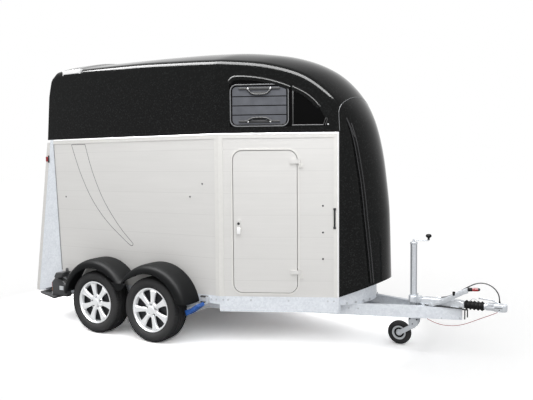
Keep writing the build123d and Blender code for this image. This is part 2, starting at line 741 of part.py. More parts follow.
# Axles: a square tube under the rails ahead of each pair of wheels
AXLE_XS = {"rear": -AXLE_HALF_SPACING, "front": AXLE_HALF_SPACING}
AXLE_TUBE_Z = RAIL_BOTTOM_Z - AXLE_TUBE / 2
with BuildPart() as axles:
    for axle_x in AXLE_XS.values():
        tube_x = axle_x + ARM_LENGTH
        block(
            tube_x - AXLE_TUBE / 2,
            tube_x + AXLE_TUBE / 2,
            -AXLE_END_Y,
            AXLE_END_Y,
            RAIL_BOTTOM_Z - AXLE_TUBE,
            RAIL_BOTTOM_Z,
        )
save(axles.part, "axles")

# Swing arms with stub axle and brake backplate, one at each wheel
ARM_BOSS_R = 34.0
BACKPLATE_Y = DRUM_INNER_Y - 10.0
with BuildPart() as knuckles:
    for axle_x in AXLE_XS.values():
        with BuildSketch(Plane.XZ.offset(AXLE_END_Y)):
            with Locations((at(axle_x), TYRE_R), (at(axle_x + ARM_LENGTH), AXLE_TUBE_Z)):
                Circle(ARM_BOSS_R)
            make_hull()
        extrude(amount=ARM_T)
        with BuildSketch(Plane.XZ.offset(AXLE_END_Y + ARM_T)):
            with Locations((at(axle_x), TYRE_R)):
                Circle(STUB_R)
        extrude(amount=WHEEL_SEAT_Y - 20 - AXLE_END_Y - ARM_T)
        with BuildSketch(Plane.XZ.offset(BACKPLATE_Y)):
            with Locations((at(axle_x), TYRE_R)):
                Circle(DRUM_R)
        extrude(amount=5)
    mirror(about=Plane.XZ)
save(knuckles.part, "knuckles")

# Wheels: drum, spoked rim and tyre, each turned about the stub axle
def ring(plane_y, depth, outer, inner, axle_x, mode=Mode.ADD):
    with BuildSketch(Plane.XZ.offset(plane_y)) as outline:
        with Locations((at(axle_x), TYRE_R)):
            Circle(outer)
            if inner:
                Circle(inner, mode=Mode.SUBTRACT)
    extrude(outline.sketch, amount=depth, mode=mode)


for axle_name, axle_x in AXLE_XS.items():
    with BuildPart() as drum:
        ring(DRUM_INNER_Y, WHEEL_SEAT_Y - DRUM_INNER_Y, DRUM_R, STUB_R + BEARING_GAP, axle_x)
        ring(WHEEL_SEAT_Y - 15, 15, DRUM_R, 0, axle_x)
    save_pair(drum.part, f"drum_{axle_name}")

    with BuildPart() as rim:
        barrel_y = TYRE_MID_Y - TYRE_W / 2 + 8
        ring(barrel_y, RIM_FACE_Y - barrel_y, BEAD_R, BEAD_R - BARREL_T, axle_x)
        ring(barrel_y, 10, RIM_FLANGE_R - 8, BEAD_R - BARREL_T, axle_x)
        ring(RIM_FACE_Y - 10, 10, RIM_FLANGE_R, BEAD_R - BARREL_T, axle_x)
        ring(WHEEL_SEAT_Y, SPOKE_T + 10, HUB_R, 0, axle_x)
        with BuildSketch(Plane.XZ.offset(WHEEL_SEAT_Y + 12)):
            with Locations((at(axle_x), TYRE_R)):
                with PolarLocations(0, SPOKES):
                    with Locations(((BEAD_R - 4) / 2, 0)):
                        Rectangle(BEAD_R - 4, SPOKE_W)
        extrude(amount=SPOKE_T)
    save_pair(rim.part, f"rim_{axle_name}")

    with BuildPart() as tyre:
        half_w = TYRE_W / 2
        with BuildSketch(Plane.YZ.offset(at(axle_x))):
            with BuildLine():
                Polyline(
                    (-TYRE_MID_Y + half_w - 34, TYRE_R + BEAD_R + SEAT_GAP),
                    (-TYRE_MID_Y + half_w - 18, TYRE_R + BEAD_R + 24),
                )
                ThreePointArc(
                    (-TYRE_MID_Y + half_w - 18, TYRE_R + BEAD_R + 24),
                    (-TYRE_MID_Y + half_w, TYRE_R + BEAD_R + 62),
                    (-TYRE_MID_Y + half_w - 8, 2 * TYRE_R - 14),
                )
                Polyline(
                    (-TYRE_MID_Y + half_w - 8, 2 * TYRE_R - 14),
                    (-TYRE_MID_Y + half_w - 24, 2 * TYRE_R),
                    (-TYRE_MID_Y - half_w + 24, 2 * TYRE_R),
                    (-TYRE_MID_Y - half_w + 8, 2 * TYRE_R - 14),
                )
                ThreePointArc(
                    (-TYRE_MID_Y - half_w + 8, 2 * TYRE_R - 14),
                    (-TYRE_MID_Y - half_w, TYRE_R + BEAD_R + 62),
                    (-TYRE_MID_Y - half_w + 18, TYRE_R + BEAD_R + 24),
                )
                Polyline(
                    (-TYRE_MID_Y - half_w + 18, TYRE_R + BEAD_R + 24),
                    (-TYRE_MID_Y - half_w + 34, TYRE_R + BEAD_R + SEAT_GAP),
                    (-TYRE_MID_Y + half_w - 34, TYRE_R + BEAD_R + SEAT_GAP),
                )
            make_face()
        revolve(axis=Axis((at(axle_x), 0, TYRE_R), (0, 1, 0)))
    save_pair(tyre.part, f"tyre_{axle_name}")

# Mudguards: one double arch each side, a thin skin with a deep outer lip
ARCH_R = 430.0
LIP_R = 387.0
MUDGUARD_Y = HALF_WIDTH + 250.0
MUDGUARD_T = 5.0
MUDGUARD_FOOT_Z = 365.0


def arches(plane, radius, amount, mode=Mode.ADD):
    with BuildSketch(plane) as outline:
        with Locations(*[(at(x), TYRE_R) for x in AXLE_XS.values()]):
            Circle(radius)
        with Locations((at(0), MUDGUARD_FOOT_Z - BIG / 2)):
            Rectangle(3 * BIG, BIG, mode=Mode.SUBTRACT)
    extrude(outline.sketch, amount=amount, mode=mode)


with BuildPart() as mudguards:
    arches(SIDE, ARCH_R, MUDGUARD_Y - HALF_WIDTH)
    arches(SIDE.offset(-1), ARCH_R - MUDGUARD_T, MUDGUARD_Y - HALF_WIDTH + 1 - MUDGUARD_T, mode=Mode.SUBTRACT)
    arches(SIDE, LIP_R, MUDGUARD_Y - HALF_WIDTH + 1, mode=Mode.SUBTRACT)
    mirror(about=Plane.XZ)
save(mudguards.part, "mudguards")

# Black corner bumpers joined by a bar below the rails
BUMPER_T = 22.0
BUMPER_Y = HALF_WIDTH + 135.0
BUMPER_REAR_X = 64.0 - REAR_REACH
BUMPER_CORNER_X = 412.0 - REAR_REACH
BUMPER_FRONT_X = 572.0 - REAR_REACH
BUMPER_BAR_W = 90.0
BUMPER_BOTTOM_Z = RAIL_BOTTOM_Z - BUMPER_T
with BuildPart() as bumper:
    column(
        [
            (at(BUMPER_REAR_X), -HALF_WIDTH - SIDE_GAP),
            (at(BUMPER_CORNER_X), -BUMPER_Y),
            (at(BUMPER_FRONT_X), -BUMPER_Y),
            (at(BUMPER_FRONT_X), -HALF_WIDTH - SIDE_GAP),
        ],
        BUMPER_BOTTOM_Z,
        RAIL_BOTTOM_Z,
    )
    mirror(about=Plane.XZ)
    block(
        BUMPER_BAR_X,
        BUMPER_BAR_X + BUMPER_BAR_W,
        -HALF_WIDTH - 2 * SIDE_GAP,
        HALF_WIDTH + 2 * SIDE_GAP,
        BUMPER_BOTTOM_Z,
        RAIL_BOTTOM_Z,
    )
save(bumper.part, "bumper")

# Rear lamp housings on the bumper corners. Columns: X from the bumper's corner, Z of the outline
LAMP_OUTLINE = [(-70, RAIL_BOTTOM_Z), (90, RAIL_BOTTOM_Z), (110, 500), (0, 500), (-70, 430)]
LAMP_INNER_Y = HALF_WIDTH + 20.0
LAMP_W = 105.0
with BuildPart() as rear_lamps:
    outline = [(at(BUMPER_CORNER_X + x), z) for x, z in LAMP_OUTLINE]
    panel(Plane.XZ.offset(LAMP_INNER_Y), outline, LAMP_W)
    mirror(about=Plane.XZ)
save(rear_lamps.part, "rear_lamps")

# Front marker lamps on the sills
MARKER_X = 822.0
MARKER_Z = 422.0
MARKER_W = 64.0
MARKER_H = 42.0
MARKER_T = 34.0
with BuildPart() as marker_lamps:
    with BuildSketch(SIDE):
        with Locations((at(MARKER_X), MARKER_Z)):
            RectangleRounded(MARKER_W, MARKER_H, MARKER_H / 4)
    extrude(amount=MARKER_T)
    mirror(about=Plane.XZ)
save(marker_lamps.part, "marker_lamps")

# Blank number plate low on the ramp
PLATE_UP = 160.0
NUMBER_PLATE_W = 520.0
NUMBER_PLATE_H = 112.0
NUMBER_PLATE_T = 3.0
with BuildPart() as number_plate:
    with BuildSketch(RAMP_PLANE):
        with Locations((0, PLATE_UP)):
            RectangleRounded(NUMBER_PLATE_W, NUMBER_PLATE_H, 8)
    extrude(amount=NUMBER_PLATE_T)
save(number_plate.part, "number_plate")

# Wheel chocks on brackets below the sills. Columns: X, Z of each outline
CHOCK_OUTLINE = [(700, 330), (722, 282), (852, 376), (836, 404), (760, 352)]
BRACKET_OUTLINE = [(716, 320), (730, 306), (880, 396), (880, 450), (858, 450), (858, 400)]
CHOCK_Y = HALF_WIDTH + 35.0
CHOCK_W = 110.0
with BuildPart() as wheel_chocks:
    panel(Plane.XZ.offset(CHOCK_Y), [(at(x), z) for x, z in CHOCK_OUTLINE], CHOCK_W)
    mirror(about=Plane.XZ)
save(wheel_chocks.part, "wheel_chocks")

with BuildPart() as chock_brackets:
    panel(SIDE, [(at(x), z) for x, z in BRACKET_OUTLINE], CHOCK_Y - HALF_WIDTH)
    mirror(about=Plane.XZ)
save(chock_brackets.part, "chock_brackets")

# Overrun housing on the meeting rails, with the draw tube through the bellows
with BuildPart() as overrun_housing:
    block(
        HOUSING_REAR_X,
        HOUSING_FRONT_X,
        -HOUSING_W / 2,
        HOUSING_W / 2,
        RAIL_TOP_Z,
        HOUSING_TOP_Z,
    )
    with BuildSketch(Plane.YZ.offset(at(HOUSING_FRONT_X))):
        with Locations((0, TUBE_Z)):
            Circle(TUBE_R)
    extrude(amount=HEAD_REAR_X - HOUSING_FRONT_X)
save(overrun_housing.part, "overrun_housing")

BELLOWS_FOLDS = 5
BELLOWS_MIN_R = 31.0
BELLOWS_MAX_R = 42.0
BELLOWS_FRONT_X = HEAD_REAR_X - 14
with BuildPart() as bellows:
    pitch = (BELLOWS_FRONT_X - HOUSING_FRONT_X) / BELLOWS_FOLDS
    with BuildSketch(Plane.XZ):
        with BuildLine():
            crest = []
            for fold in range(BELLOWS_FOLDS):
                start = at(HOUSING_FRONT_X) + fold * pitch
                crest += [(start, TUBE_Z + BELLOWS_MIN_R), (start + pitch / 2, TUBE_Z + BELLOWS_MAX_R)]
            crest.append((at(BELLOWS_FRONT_X), TUBE_Z + BELLOWS_MIN_R))
            Polyline(
                (at(HOUSING_FRONT_X), TUBE_Z + TUBE_R + SEAT_GAP),
                *crest,
                (at(BELLOWS_FRONT_X), TUBE_Z + TUBE_R + SEAT_GAP),
                close=True,
            )
        make_face()
    revolve(axis=Axis((0, 0, TUBE_Z), (1, 0, 0)))
save(bellows.part, "bellows")

# Coupling head: a collar on the draw tube and a cup for the 50 mm ball, open below
BALL_R = 25.0
CUP_GAP = 0.5
HEAD_BOTTOM_Z = TUBE_Z - 30
HEAD_TOP_Z = TUBE_Z + 34
COLLAR_R = 31.0
COLLAR_L = 70.0
# Columns: X from the ball's centre, half the width of the head
HEAD_WIDTHS = [(-52.0, 28.0), (-10.0, 38.0), (30.0, 38.0), (COUPLING_REACH - BALL_X, 18.0)]
with BuildPart() as coupling_head:
    with BuildSketch(Plane.YZ.offset(at(HEAD_REAR_X))):
        with Locations((0, TUBE_Z)):
            Circle(COLLAR_R)
    extrude(amount=COLLAR_L)
    right_edge = [(at(BALL_X + x), -half) for x, half in HEAD_WIDTHS]
    column(right_edge + [(x, -y) for x, y in reversed(right_edge)], HEAD_BOTTOM_Z, HEAD_TOP_Z)
    with BuildSketch(Plane.XY.offset(HEAD_BOTTOM_Z)):
        with Locations((at(BALL_X), 0)):
            Circle(BALL_R + CUP_GAP)
    extrude(amount=TUBE_Z - HEAD_BOTTOM_Z, mode=Mode.SUBTRACT)
    with Locations((at(BALL_X), 0, TUBE_Z)):
        Sphere(BALL_R + CUP_GAP, mode=Mode.SUBTRACT)
save(coupling_head.part, "coupling_head")

# Columns: X from the ball's centre, Z of the handle's outline above the head
HANDLE_OUTLINE = [(-30, HEAD_TOP_Z), (0, HEAD_TOP_Z), (-46, 492), (-170, 500), (-176, 486), (-62, 478)]
HANDLE_W = 18.0
with BuildPart() as coupling_handle:
    panel(Plane.XZ.offset(HANDLE_W / 2), [(at(BALL_X + x), z) for x, z in HANDLE_OUTLINE], -HANDLE_W)
save(coupling_handle.part, "coupling_handle")

# Handbrake lever beside the housing. Columns: X from the housing's rear, Z of its outline
LEVER_OUTLINE = [(90, 398), (190, 395), (425, 558.5), (423, 583.5), (200, 452), (100, 424)]
LEVER_T = 12.0
GRIP_X = HOUSING_REAR_X + 424.0
GRIP_Z = 571.0
GRIP_L = 100.0
with BuildPart() as handbrake_lever:
    outline = [(at(HOUSING_REAR_X + x), z) for x, z in LEVER_OUTLINE]
    panel(Plane.XZ.offset(HOUSING_W / 2), outline, LEVER_T)
save(handbrake_lever.part, "handbrake_lever")

with BuildPart() as handbrake_grip:
    with BuildSketch(
        Plane(origin=(at(GRIP_X), -HOUSING_W / 2 - LEVER_T / 2, GRIP_Z), x_dir=(0, 1, 0), z_dir=(1, 0, 0.08))
    ):
        Ellipse(13, 16)
    extrude(amount=GRIP_L)
save(handbrake_grip.part, "handbrake_grip")

# Jockey wheel: clamp, post and crank on the frame; fork and wheel turn below
POST_BORE_R = POST_R - POST_WALL
with BuildPart() as jockey_post:
    with BuildSketch(Plane.XY.offset(POST_BOTTOM_Z)):
        with Locations((at(POST_AXIS_X), 0)):
            Circle(POST_R)
            Circle(POST_BORE_R, mode=Mode.SUBTRACT)
    extrude(amount=POST_TOP_Z - POST_BOTTOM_Z)
    with BuildSketch(Plane.XY.offset(POST_TOP_Z - 6)):
        with Locations((at(POST_AXIS_X), 0)):
            Circle(POST_R + 3)
    extrude(amount=10)
save(jockey_post.part, "jockey_post")

CRANK_Z = 966.0
CRANK_R = 7.0
KNOB_X = POST_AXIS_X + 132.0
with BuildPart() as jockey_crank:
    with BuildSketch(Plane.XY.offset(POST_TOP_Z + 4)):
        with Locations((at(POST_AXIS_X), 0)):
            Circle(10)
    extrude(amount=CRANK_Z + CRANK_R - POST_TOP_Z - 4)
    with BuildSketch(Plane.YZ.offset(at(POST_AXIS_X))):
        with Locations((0, CRANK_Z)):
            Circle(CRANK_R)
    extrude(amount=KNOB_X - POST_AXIS_X + CRANK_R)
    with BuildSketch(Plane.XY.offset(CRANK_Z - CRANK_R)):
        with Locations((at(KNOB_X), 0)):
            Circle(CRANK_R)
    extrude(amount=30)
    with BuildSketch(Plane.XY.offset(CRANK_Z + 12)):
        with Locations((at(KNOB_X), 0)):
            Circle(13)
    extrude(amount=26)
    with BuildSketch(Plane.XY.offset(CRANK_Z + 38)):
        with Locations((at(KNOB_X), 0)):
            Circle(24)
    extrude(amount=20)
save(jockey_crank.part, "jockey_crank")

CLAMP_HALF = 44.0
CLAMP_BOTTOM_Z = 400.0
CLAMP_H = 62.0
with BuildPart() as jockey_clamp:
    block(
        POST_AXIS_X - CLAMP_HALF,
        HOUSING_REAR_X,
        -CLAMP_HALF,
        CLAMP_HALF,
        CLAMP_BOTTOM_Z,
        CLAMP_BOTTOM_Z + CLAMP_H,
    )
    with BuildSketch(Plane.XY.offset(CLAMP_BOTTOM_Z)):
        with Locations((at(POST_AXIS_X), 0)):
            Circle(POST_R + SEAT_GAP)
    extrude(amount=CLAMP_H, mode=Mode.SUBTRACT)
save(jockey_clamp.part, "jockey_clamp")

JOCKEY_X = POST_AXIS_X - JOCKEY_TRAIL
FORK_T = 6.0
FORK_INNER = JOCKEY_W / 2 + MOVING_GAP
with BuildPart() as jockey_fork:
    with BuildSketch(Plane.XY.offset(228)):
        with Locations((at(POST_AXIS_X), 0)):
            Circle(FORK_INNER + FORK_T)
    extrude(amount=34)
    with BuildSketch(Plane.XY.offset(262)):
        with Locations((at(POST_AXIS_X), 0)):
            Circle(POST_BORE_R - BEARING_GAP)
    extrude(amount=100)
    for y in [FORK_INNER, -FORK_INNER - FORK_T]:
        with BuildSketch(Plane.XZ.offset(y)):
            with Locations((at(JOCKEY_X), JOCKEY_R)):
                Circle(20)
            with Locations((at(POST_AXIS_X), 245)):
                Circle(17)
            make_hull()
        extrude(amount=FORK_T)
    with BuildSketch(Plane.XZ.offset(-FORK_INNER - 10)):
        with Locations((at(JOCKEY_X), JOCKEY_R)):
            Circle(8)
    extrude(amount=2 * FORK_INNER + 20)
save(jockey_fork.part, "jockey_fork")

with BuildPart() as jockey_rim:
    with BuildSketch(Plane.XZ.offset(-JOCKEY_W / 2 + 6)):
        with Locations((at(JOCKEY_X), JOCKEY_R)):
            Circle(64)
            Circle(8 + BEARING_GAP, mode=Mode.SUBTRACT)
    extrude(amount=JOCKEY_W - 12)
save(jockey_rim.part, "jockey_rim")

with BuildPart() as jockey_tyre:
    with BuildSketch(Plane.XZ.offset(-JOCKEY_W / 2)):
        with Locations((at(JOCKEY_X), JOCKEY_R)):
            Circle(JOCKEY_R)
            Circle(64 + SEAT_GAP, mode=Mode.SUBTRACT)
    extrude(amount=JOCKEY_W)
save(jockey_tyre.part, "jockey_tyre")

# Cables at the hitch. Columns: X from the ball's centre, Y, Z of each point of the route
CABLE_D = 10.0
CABLE_ROUTE = [
    (-527.0, 38.0, 466.0),
    (-462.0, 42.0, 478.0),
    (-392.0, 44.0, 512.0),
    (-327.0, 42.0, 551.0),
    (-262.0, 36.0, 589.0),
    (-192.0, 28.0, 616.0),
    (-122.0, 22.0, 622.0),
    (-62.0, 22.0, 597.0),
    (-22.0, 32.0, 548.0),
    (-10.0, 50.0, 496.0),
    (-12.0, 64.0, 448.0),
]
BREAKAWAY_D = 5.0
BREAKAWAY_ROUTE = [
    (-594.0, -74.0, 281.0),
    (-544.0, -86.0, 262.0),
    (-480.0, -92.0, 248.0),
    (-412.0, -94.0, 244.0),
    (-342.0, -90.0, 252.0),
    (-272.0, -82.0, 272.0),
    (-202.0, -72.0, 304.0),
    (-132.0, -62.0, 338.0),
    (-62.0, -54.0, 370.0),
    (0.0, -46.0, 402.0),
]


def cable_tube(route, diameter):
    """Round tube along straight runs joined by arcs as large as the runs allow."""
    points = [Vector(at(BALL_X + x), y, z) for x, y, z in route]
    runs = [after - before for before, after in zip(points, points[1:])]
    radii = []
    for before, after in zip(runs, runs[1:]):
        half_turn = radians(before.get_angle(after) / 2)
        radii.append(0.45 * min(before.length, after.length) / tan(half_turn))
    with BuildPart() as tube:
        with BuildLine() as path:
            FilletPolyline(*points, radius=radii)
        with BuildSketch(Plane(origin=points[0], z_dir=runs[0])):
            Circle(diameter / 2)
        sweep(path=path.wires()[0])
    length = path.wires()[0].length
    print("cable radii", [round(radius) for radius in radii], "length", round(length))
    print("volume ratio", round(tube.part.volume / (length * pi * diameter**2 / 4), 4))
    return tube.part


save(cable_tube(CABLE_ROUTE, CABLE_D), "electric_cable")
save(cable_tube(BREAKAWAY_ROUTE, BREAKAWAY_D), "breakaway_cable")

# Plug of the electric cable, parked in a holder that is fixed to the coupling head
PLUG_R = 20.0
PLUG_L = 62.0
HOLDER_T = 4.0
HOLDER_DROP = 22.0
HOLDER_H = 26.0
plug_end = Vector(at(BALL_X + CABLE_ROUTE[-1][0]), CABLE_ROUTE[-1][1], CABLE_ROUTE[-1][2])
plug_start = Vector(at(BALL_X + CABLE_ROUTE[-2][0]), CABLE_ROUTE[-2][1], CABLE_ROUTE[-2][2])
PLUG_PLANE = Plane(origin=plug_end, x_dir=(1, 0, 0), z_dir=plug_end - plug_start)
with BuildPart() as cable_plug:
    with BuildSketch(PLUG_PLANE):
        Circle(PLUG_R)
    extrude(amount=PLUG_L)
save(cable_plug.part, "cable_plug")

with BuildPart() as plug_holder:
    with BuildSketch(PLUG_PLANE.offset(HOLDER_DROP)):
        Circle(PLUG_R + SEAT_GAP + HOLDER_T)
    extrude(amount=HOLDER_H)
    holder_z = plug_end.Z - HOLDER_DROP - HOLDER_H
    block(
        BALL_X + CABLE_ROUTE[-1][0] - 14,
        BALL_X + CABLE_ROUTE[-1][0] + 14,
        HEAD_WIDTHS[1][1],
        plug_end.Y,
        holder_z,
        holder_z + 18,
    )
    with BuildSketch(PLUG_PLANE):
        Circle(PLUG_R + SEAT_GAP)
    extrude(amount=PLUG_L + HOLDER_H, mode=Mode.SUBTRACT)
save(plug_holder.part, "plug_holder")
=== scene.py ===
"""Two-horse trailer: shell, walls, wheels, chassis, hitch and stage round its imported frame."""

from math import acos, asin, atan2, cos, hypot, pi, radians, sin, tan

import bmesh
import bpy
from mathutils import Matrix, Vector


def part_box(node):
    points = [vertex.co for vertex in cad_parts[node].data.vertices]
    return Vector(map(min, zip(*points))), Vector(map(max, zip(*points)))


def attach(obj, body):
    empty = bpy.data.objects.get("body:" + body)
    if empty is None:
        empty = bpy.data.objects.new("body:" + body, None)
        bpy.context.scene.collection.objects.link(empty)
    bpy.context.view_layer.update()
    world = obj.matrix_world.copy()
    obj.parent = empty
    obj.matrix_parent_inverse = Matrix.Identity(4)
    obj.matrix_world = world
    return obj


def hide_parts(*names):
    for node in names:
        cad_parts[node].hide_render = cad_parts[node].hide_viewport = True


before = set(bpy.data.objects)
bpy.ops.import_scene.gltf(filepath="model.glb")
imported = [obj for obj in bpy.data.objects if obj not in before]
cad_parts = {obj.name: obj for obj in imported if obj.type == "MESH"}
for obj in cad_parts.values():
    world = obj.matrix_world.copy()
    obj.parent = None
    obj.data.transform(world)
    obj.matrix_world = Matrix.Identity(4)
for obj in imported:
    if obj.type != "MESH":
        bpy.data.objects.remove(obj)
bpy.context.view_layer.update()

bl_info = {
    "name": "Horse trailer",
    "version": (1, 0, 0),
    "blender": (4, 5, 0),
    "location": "View3D > Sidebar > Trailer",
    "description": "Dresses the packed frame of a horse trailer with its shell, wheels and fittings",
    "category": "Object",
}

# Shapes are drawn in millimetres: X forward from the middle between the axles, Y left, Z up
MM = 0.001
SIDES = ("right", "left")
ENDS = ("front", "rear")
# Points nearer than this become one
WELD = 0.02


def middle_x(node):
    low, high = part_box(node)
    return (low[0] + high[0]) / 2


AXLE_MID_X = (middle_x("tyre_front_right") + middle_x("tyre_rear_right")) / 2
ROW = Matrix.Translation((AXLE_MID_X, 0, 0)) @ Matrix.Scale(MM, 4)
AXLE_HALF_SPACING = (middle_x("tyre_front_right") - middle_x("tyre_rear_right")) / 2 / MM
# The body: its sides run straight to the kink and taper from there to the front posts
HALF_WIDTH = 850.0
KINK_X = 990.0
TAPER = radians(24.0)
POST_X = 1968.0
WALL_BOTTOM_Z = 465.0
WALL_TOP_Z = 1887.0
HOOD_BOTTOM_Z = 1933.0
TYRE_R = 307.5
# The drawbar rails meet at their apex, each at this angle to the middle line
RAIL_APEX_X = 2955.0
DRAWBAR = radians(16.13)
UP = Vector((0, 0, 1))
X_AXIS = Vector((1, 0, 0))


def panel_frame(x, along):
    """Frame of the right wall at X: along it, up and out of it."""
    out = along.cross(UP)
    turn = Matrix((along, UP, out)).transposed().to_4x4()
    return Matrix.Translation((x, -HALF_WIDTH, 0)) @ turn


SIDE_WALL = panel_frame(0.0, X_AXIS)
TAPER_WALL = panel_frame(KINK_X, Vector((cos(TAPER), sin(TAPER), 0)))


def along(x):
    """Distance along the tapered wall from the kink to the given X."""
    return (x - KINK_X) / cos(TAPER)


def half_width(x, soft=45.0):
    """Half the body's width at X, with the kink rounded over the soft length each side."""
    past = x - KINK_X
    if abs(past) < soft:
        past = (past + soft) ** 2 / (4 * soft)
    return HALF_WIDTH - max(past, 0.0) * tan(TAPER)


def linear(code):
    """Linear colour of an sRGB hex value."""
    parts = [int(code[i : i + 2], 16) / 255 for i in (1, 3, 5)]
    return [p / 12.92 if p <= 0.04045 else ((p + 0.055) / 1.055) ** 2.4 for p in parts]


def colour(name, description, code):
    return bpy.props.FloatVectorProperty(
        name=name, description=description, default=linear(code), subtype="COLOR", min=0, max=1
    )


def length(name, description, default):
    return bpy.props.FloatProperty(
        name=name, description=description, default=default * MM, unit="LENGTH", precision=4
    )


def count(name, description, default):
    return bpy.props.IntProperty(name=name, description=description, default=default, min=1)


class ShellSettings(bpy.types.PropertyGroup):
    lacquer: colour("Lacquer", "Colour of the hood and the nose", "#1c1d1d")
    wall: length("Wall", "Thickness of the moulded shell", 22.0)
    shoulder: length("Shoulder", "Rounding between the hood's sides and its roof", 56.0)
    flute: length("Flute", "Depth of the two flutes down the nose", 12.0)
    recess: length("Recess", "Depth of the smooth fields round the windows", 9.0)


class WallSettings(bpy.types.PropertyGroup):
    planks: colour("Planks", "Colour of the side walls and doors", "#d2d1cf")
    stripe: colour("Stripe", "Colour of the curved outline on the side", "#4c4d50")
    stripe_width: length("Stripe width", "Width of the drawn outline", 6.0)


class WheelSettings(bpy.types.PropertyGroup):
    spokes: count("Spokes", "Spokes of each wheel", 7)
    nuts: count("Nuts", "Nuts that hold each wheel", 5)
    grooves: count("Tread blocks", "Cross grooves round each tyre's shoulders", 60)


class MudguardSettings(bpy.types.PropertyGroup):
    tint: colour("Tint", "Colour of the plastic mudguards", "#18191a")
    skin: length("Skin", "Thickness of the mudguards", 5.0)


class StageSettings(bpy.types.PropertyGroup):
    floor: colour("Floor", "Colour of the studio floor", "#f4f4f4")
    lens: bpy.props.FloatProperty(
        name="Lens", description="Focal length of the camera in millimetres", default=40.104
    )


# Making shapes


def vectors(points):
    return [Vector(point) for point in points]


def flat(bm, points):
    """One face on a closed outline."""
    return bm.faces.new([bm.verts.new(point) for point in points])


def extrude(bm, faces, vector):
    """Pulls faces out along a vector and gives their new vertices."""
    grown = bmesh.ops.extrude_face_region(bm, geom=list(faces))["geom"]
    moved = [item for item in grown if isinstance(item, bmesh.types.BMVert)]
    bmesh.ops.translate(bm, verts=moved, vec=vector)
    return moved


def prism(bm, points, vector):
    """Closed solid on an outline, and the vertices that it has."""
    face = flat(bm, points)
    base = list(face.verts)
    return base + extrude(bm, [face], Vector(vector))


def slab(bm, points, vector, width, segments=2, angle=25.0):
    """Closed solid on an outline, with its edges softened."""
    verts = prism(bm, points, vector)
    bmesh.ops.recalc_face_normals(bm, faces=bm.faces)
    soften(bm, verts, width, segments, angle)


def face_out(bm):
    """Turns the faces of an open net out, which is up at its top."""
    bmesh.ops.recalc_face_normals(bm, faces=bm.faces)
    top = max(bm.faces, key=lambda f: f.calc_center_median().z)
    if top.normal.z < 0:
        bmesh.ops.reverse_faces(bm, faces=bm.faces)


def edges_of(verts):
    """Edges between the given vertices, each once and in a steady order."""
    chosen = set(verts)
    found = {}
    for vert in verts:
        for edge in vert.link_edges:
            if edge.other_vert(vert) in chosen:
                found[edge] = True
    return list(found)


def soften(bm, verts, width, segments=2, angle=25.0):
    """Bevels the sharp edges between the given vertices."""
    sharp = []
    for edge in edges_of(verts):
        if edge.is_manifold and edge.calc_face_angle(0) > radians(angle):
            sharp.append(edge)
    bmesh.ops.bevel(
        bm,
        geom=sharp,
        offset=width,
        segments=segments,
        profile=0.5,
        affect="EDGES",
        material=-1,
        clamp_overlap=True,
    )


def block(bm, low, high, width=0.0, segments=2):
    """Box between two corners with softened edges."""
    low, high = Vector(low), Vector(high)
    verts = bmesh.ops.create_cube(bm, size=1.0)["verts"]
    bmesh.ops.scale(bm, verts=verts, vec=high - low)
    bmesh.ops.translate(bm, verts=verts, vec=(low + high) / 2)
    if width:
        soften(bm, verts, width, segments)


def rod(bm, start, end, radius, radius_end=None, sides=24, width=0.0):
    """Round bar or cone between two points."""
    start, end = Vector(start), Vector(end)
    run = end - start
    turn = run.to_track_quat("Z", "Y").to_matrix().to_4x4()
    verts = bmesh.ops.create_cone(
        bm,
        cap_ends=True,
        segments=sides,
        radius1=radius,
        radius2=radius if radius_end is None else radius_end,
        depth=run.length,
        matrix=Matrix.Translation((start + end) / 2) @ turn,
    )["verts"]
    if width:
        soften(bm, verts, width, angle=50.0)
    return verts


def lathe(bm, profile, centre, axis, steps=64, closed=True):
    """Turns an outline of (distance along the axis, radius) pairs about the axis."""
    axis = Vector(axis).normalized()
    centre = Vector(centre)
    away = axis.orthogonal().normalized()
    verts = [bm.verts.new(centre + axis * a + away * r) for a, r in profile]
    pairs = list(zip(verts, verts[1:]))
    if closed:
        pairs.append((verts[-1], verts[0]))
    edges = [bm.edges.new(pair) for pair in pairs]
    bmesh.ops.spin(
        bm,
        geom=verts + edges,
        cent=centre,
        axis=axis,
        angle=2 * pi,
        steps=steps,
        use_merge=True,
        use_duplicate=False,
    )


def wire(bm, points, radius, smooth=True, cyclic=False, sides=2):
    """Round bar bent along a smooth line, or along straight runs."""
    curve = bpy.data.curves.new("bar", "CURVE")
    curve.dimensions = "3D"
    curve.bevel_depth = radius
    curve.bevel_resolution = sides
    curve.use_fill_caps = True
    curve.resolution_u = 8
    spline = curve.splines.new("NURBS" if smooth else "POLY")
    spline.points.add(len(points) - 1)
    for point, place in zip(spline.points, points):
        point.co = (*place, 1.0)
    if smooth:
        spline.order_u = 3
        spline.use_endpoint_u = not cyclic
    spline.use_cyclic_u = cyclic
    holder = bpy.data.objects.new("bar", curve)
    mesh = bpy.data.meshes.new_from_object(holder)
    before = len(bm.verts)
    bm.from_mesh(mesh)
    bm.verts.ensure_lookup_table()
    bpy.data.objects.remove(holder)
    bpy.data.curves.remove(curve)
    bpy.data.meshes.remove(mesh)
    return bm.verts[before:]


def rounded(bm, low, high, radius, depth, segments=6):
    """Plate with rounded corners in the X and Y of a panel, from Z = 0 to the depth."""
    (x0, y0), (x1, y1) = low, high
    face = flat(bm, [(x0, y0, 0), (x1, y0, 0), (x1, y1, 0), (x0, y1, 0)])
    bmesh.ops.bevel(
        bm,
        geom=list(face.verts),
        offset=radius,
        segments=segments,
        profile=0.5,
        affect="VERTICES",
        material=-1,
    )
    face = [f for f in bm.faces if not any(len(e.link_faces) > 1 for e in f.edges)][-1]
    base = list(face.verts)
    return base + extrude(bm, [face], Vector((0, 0, depth)))


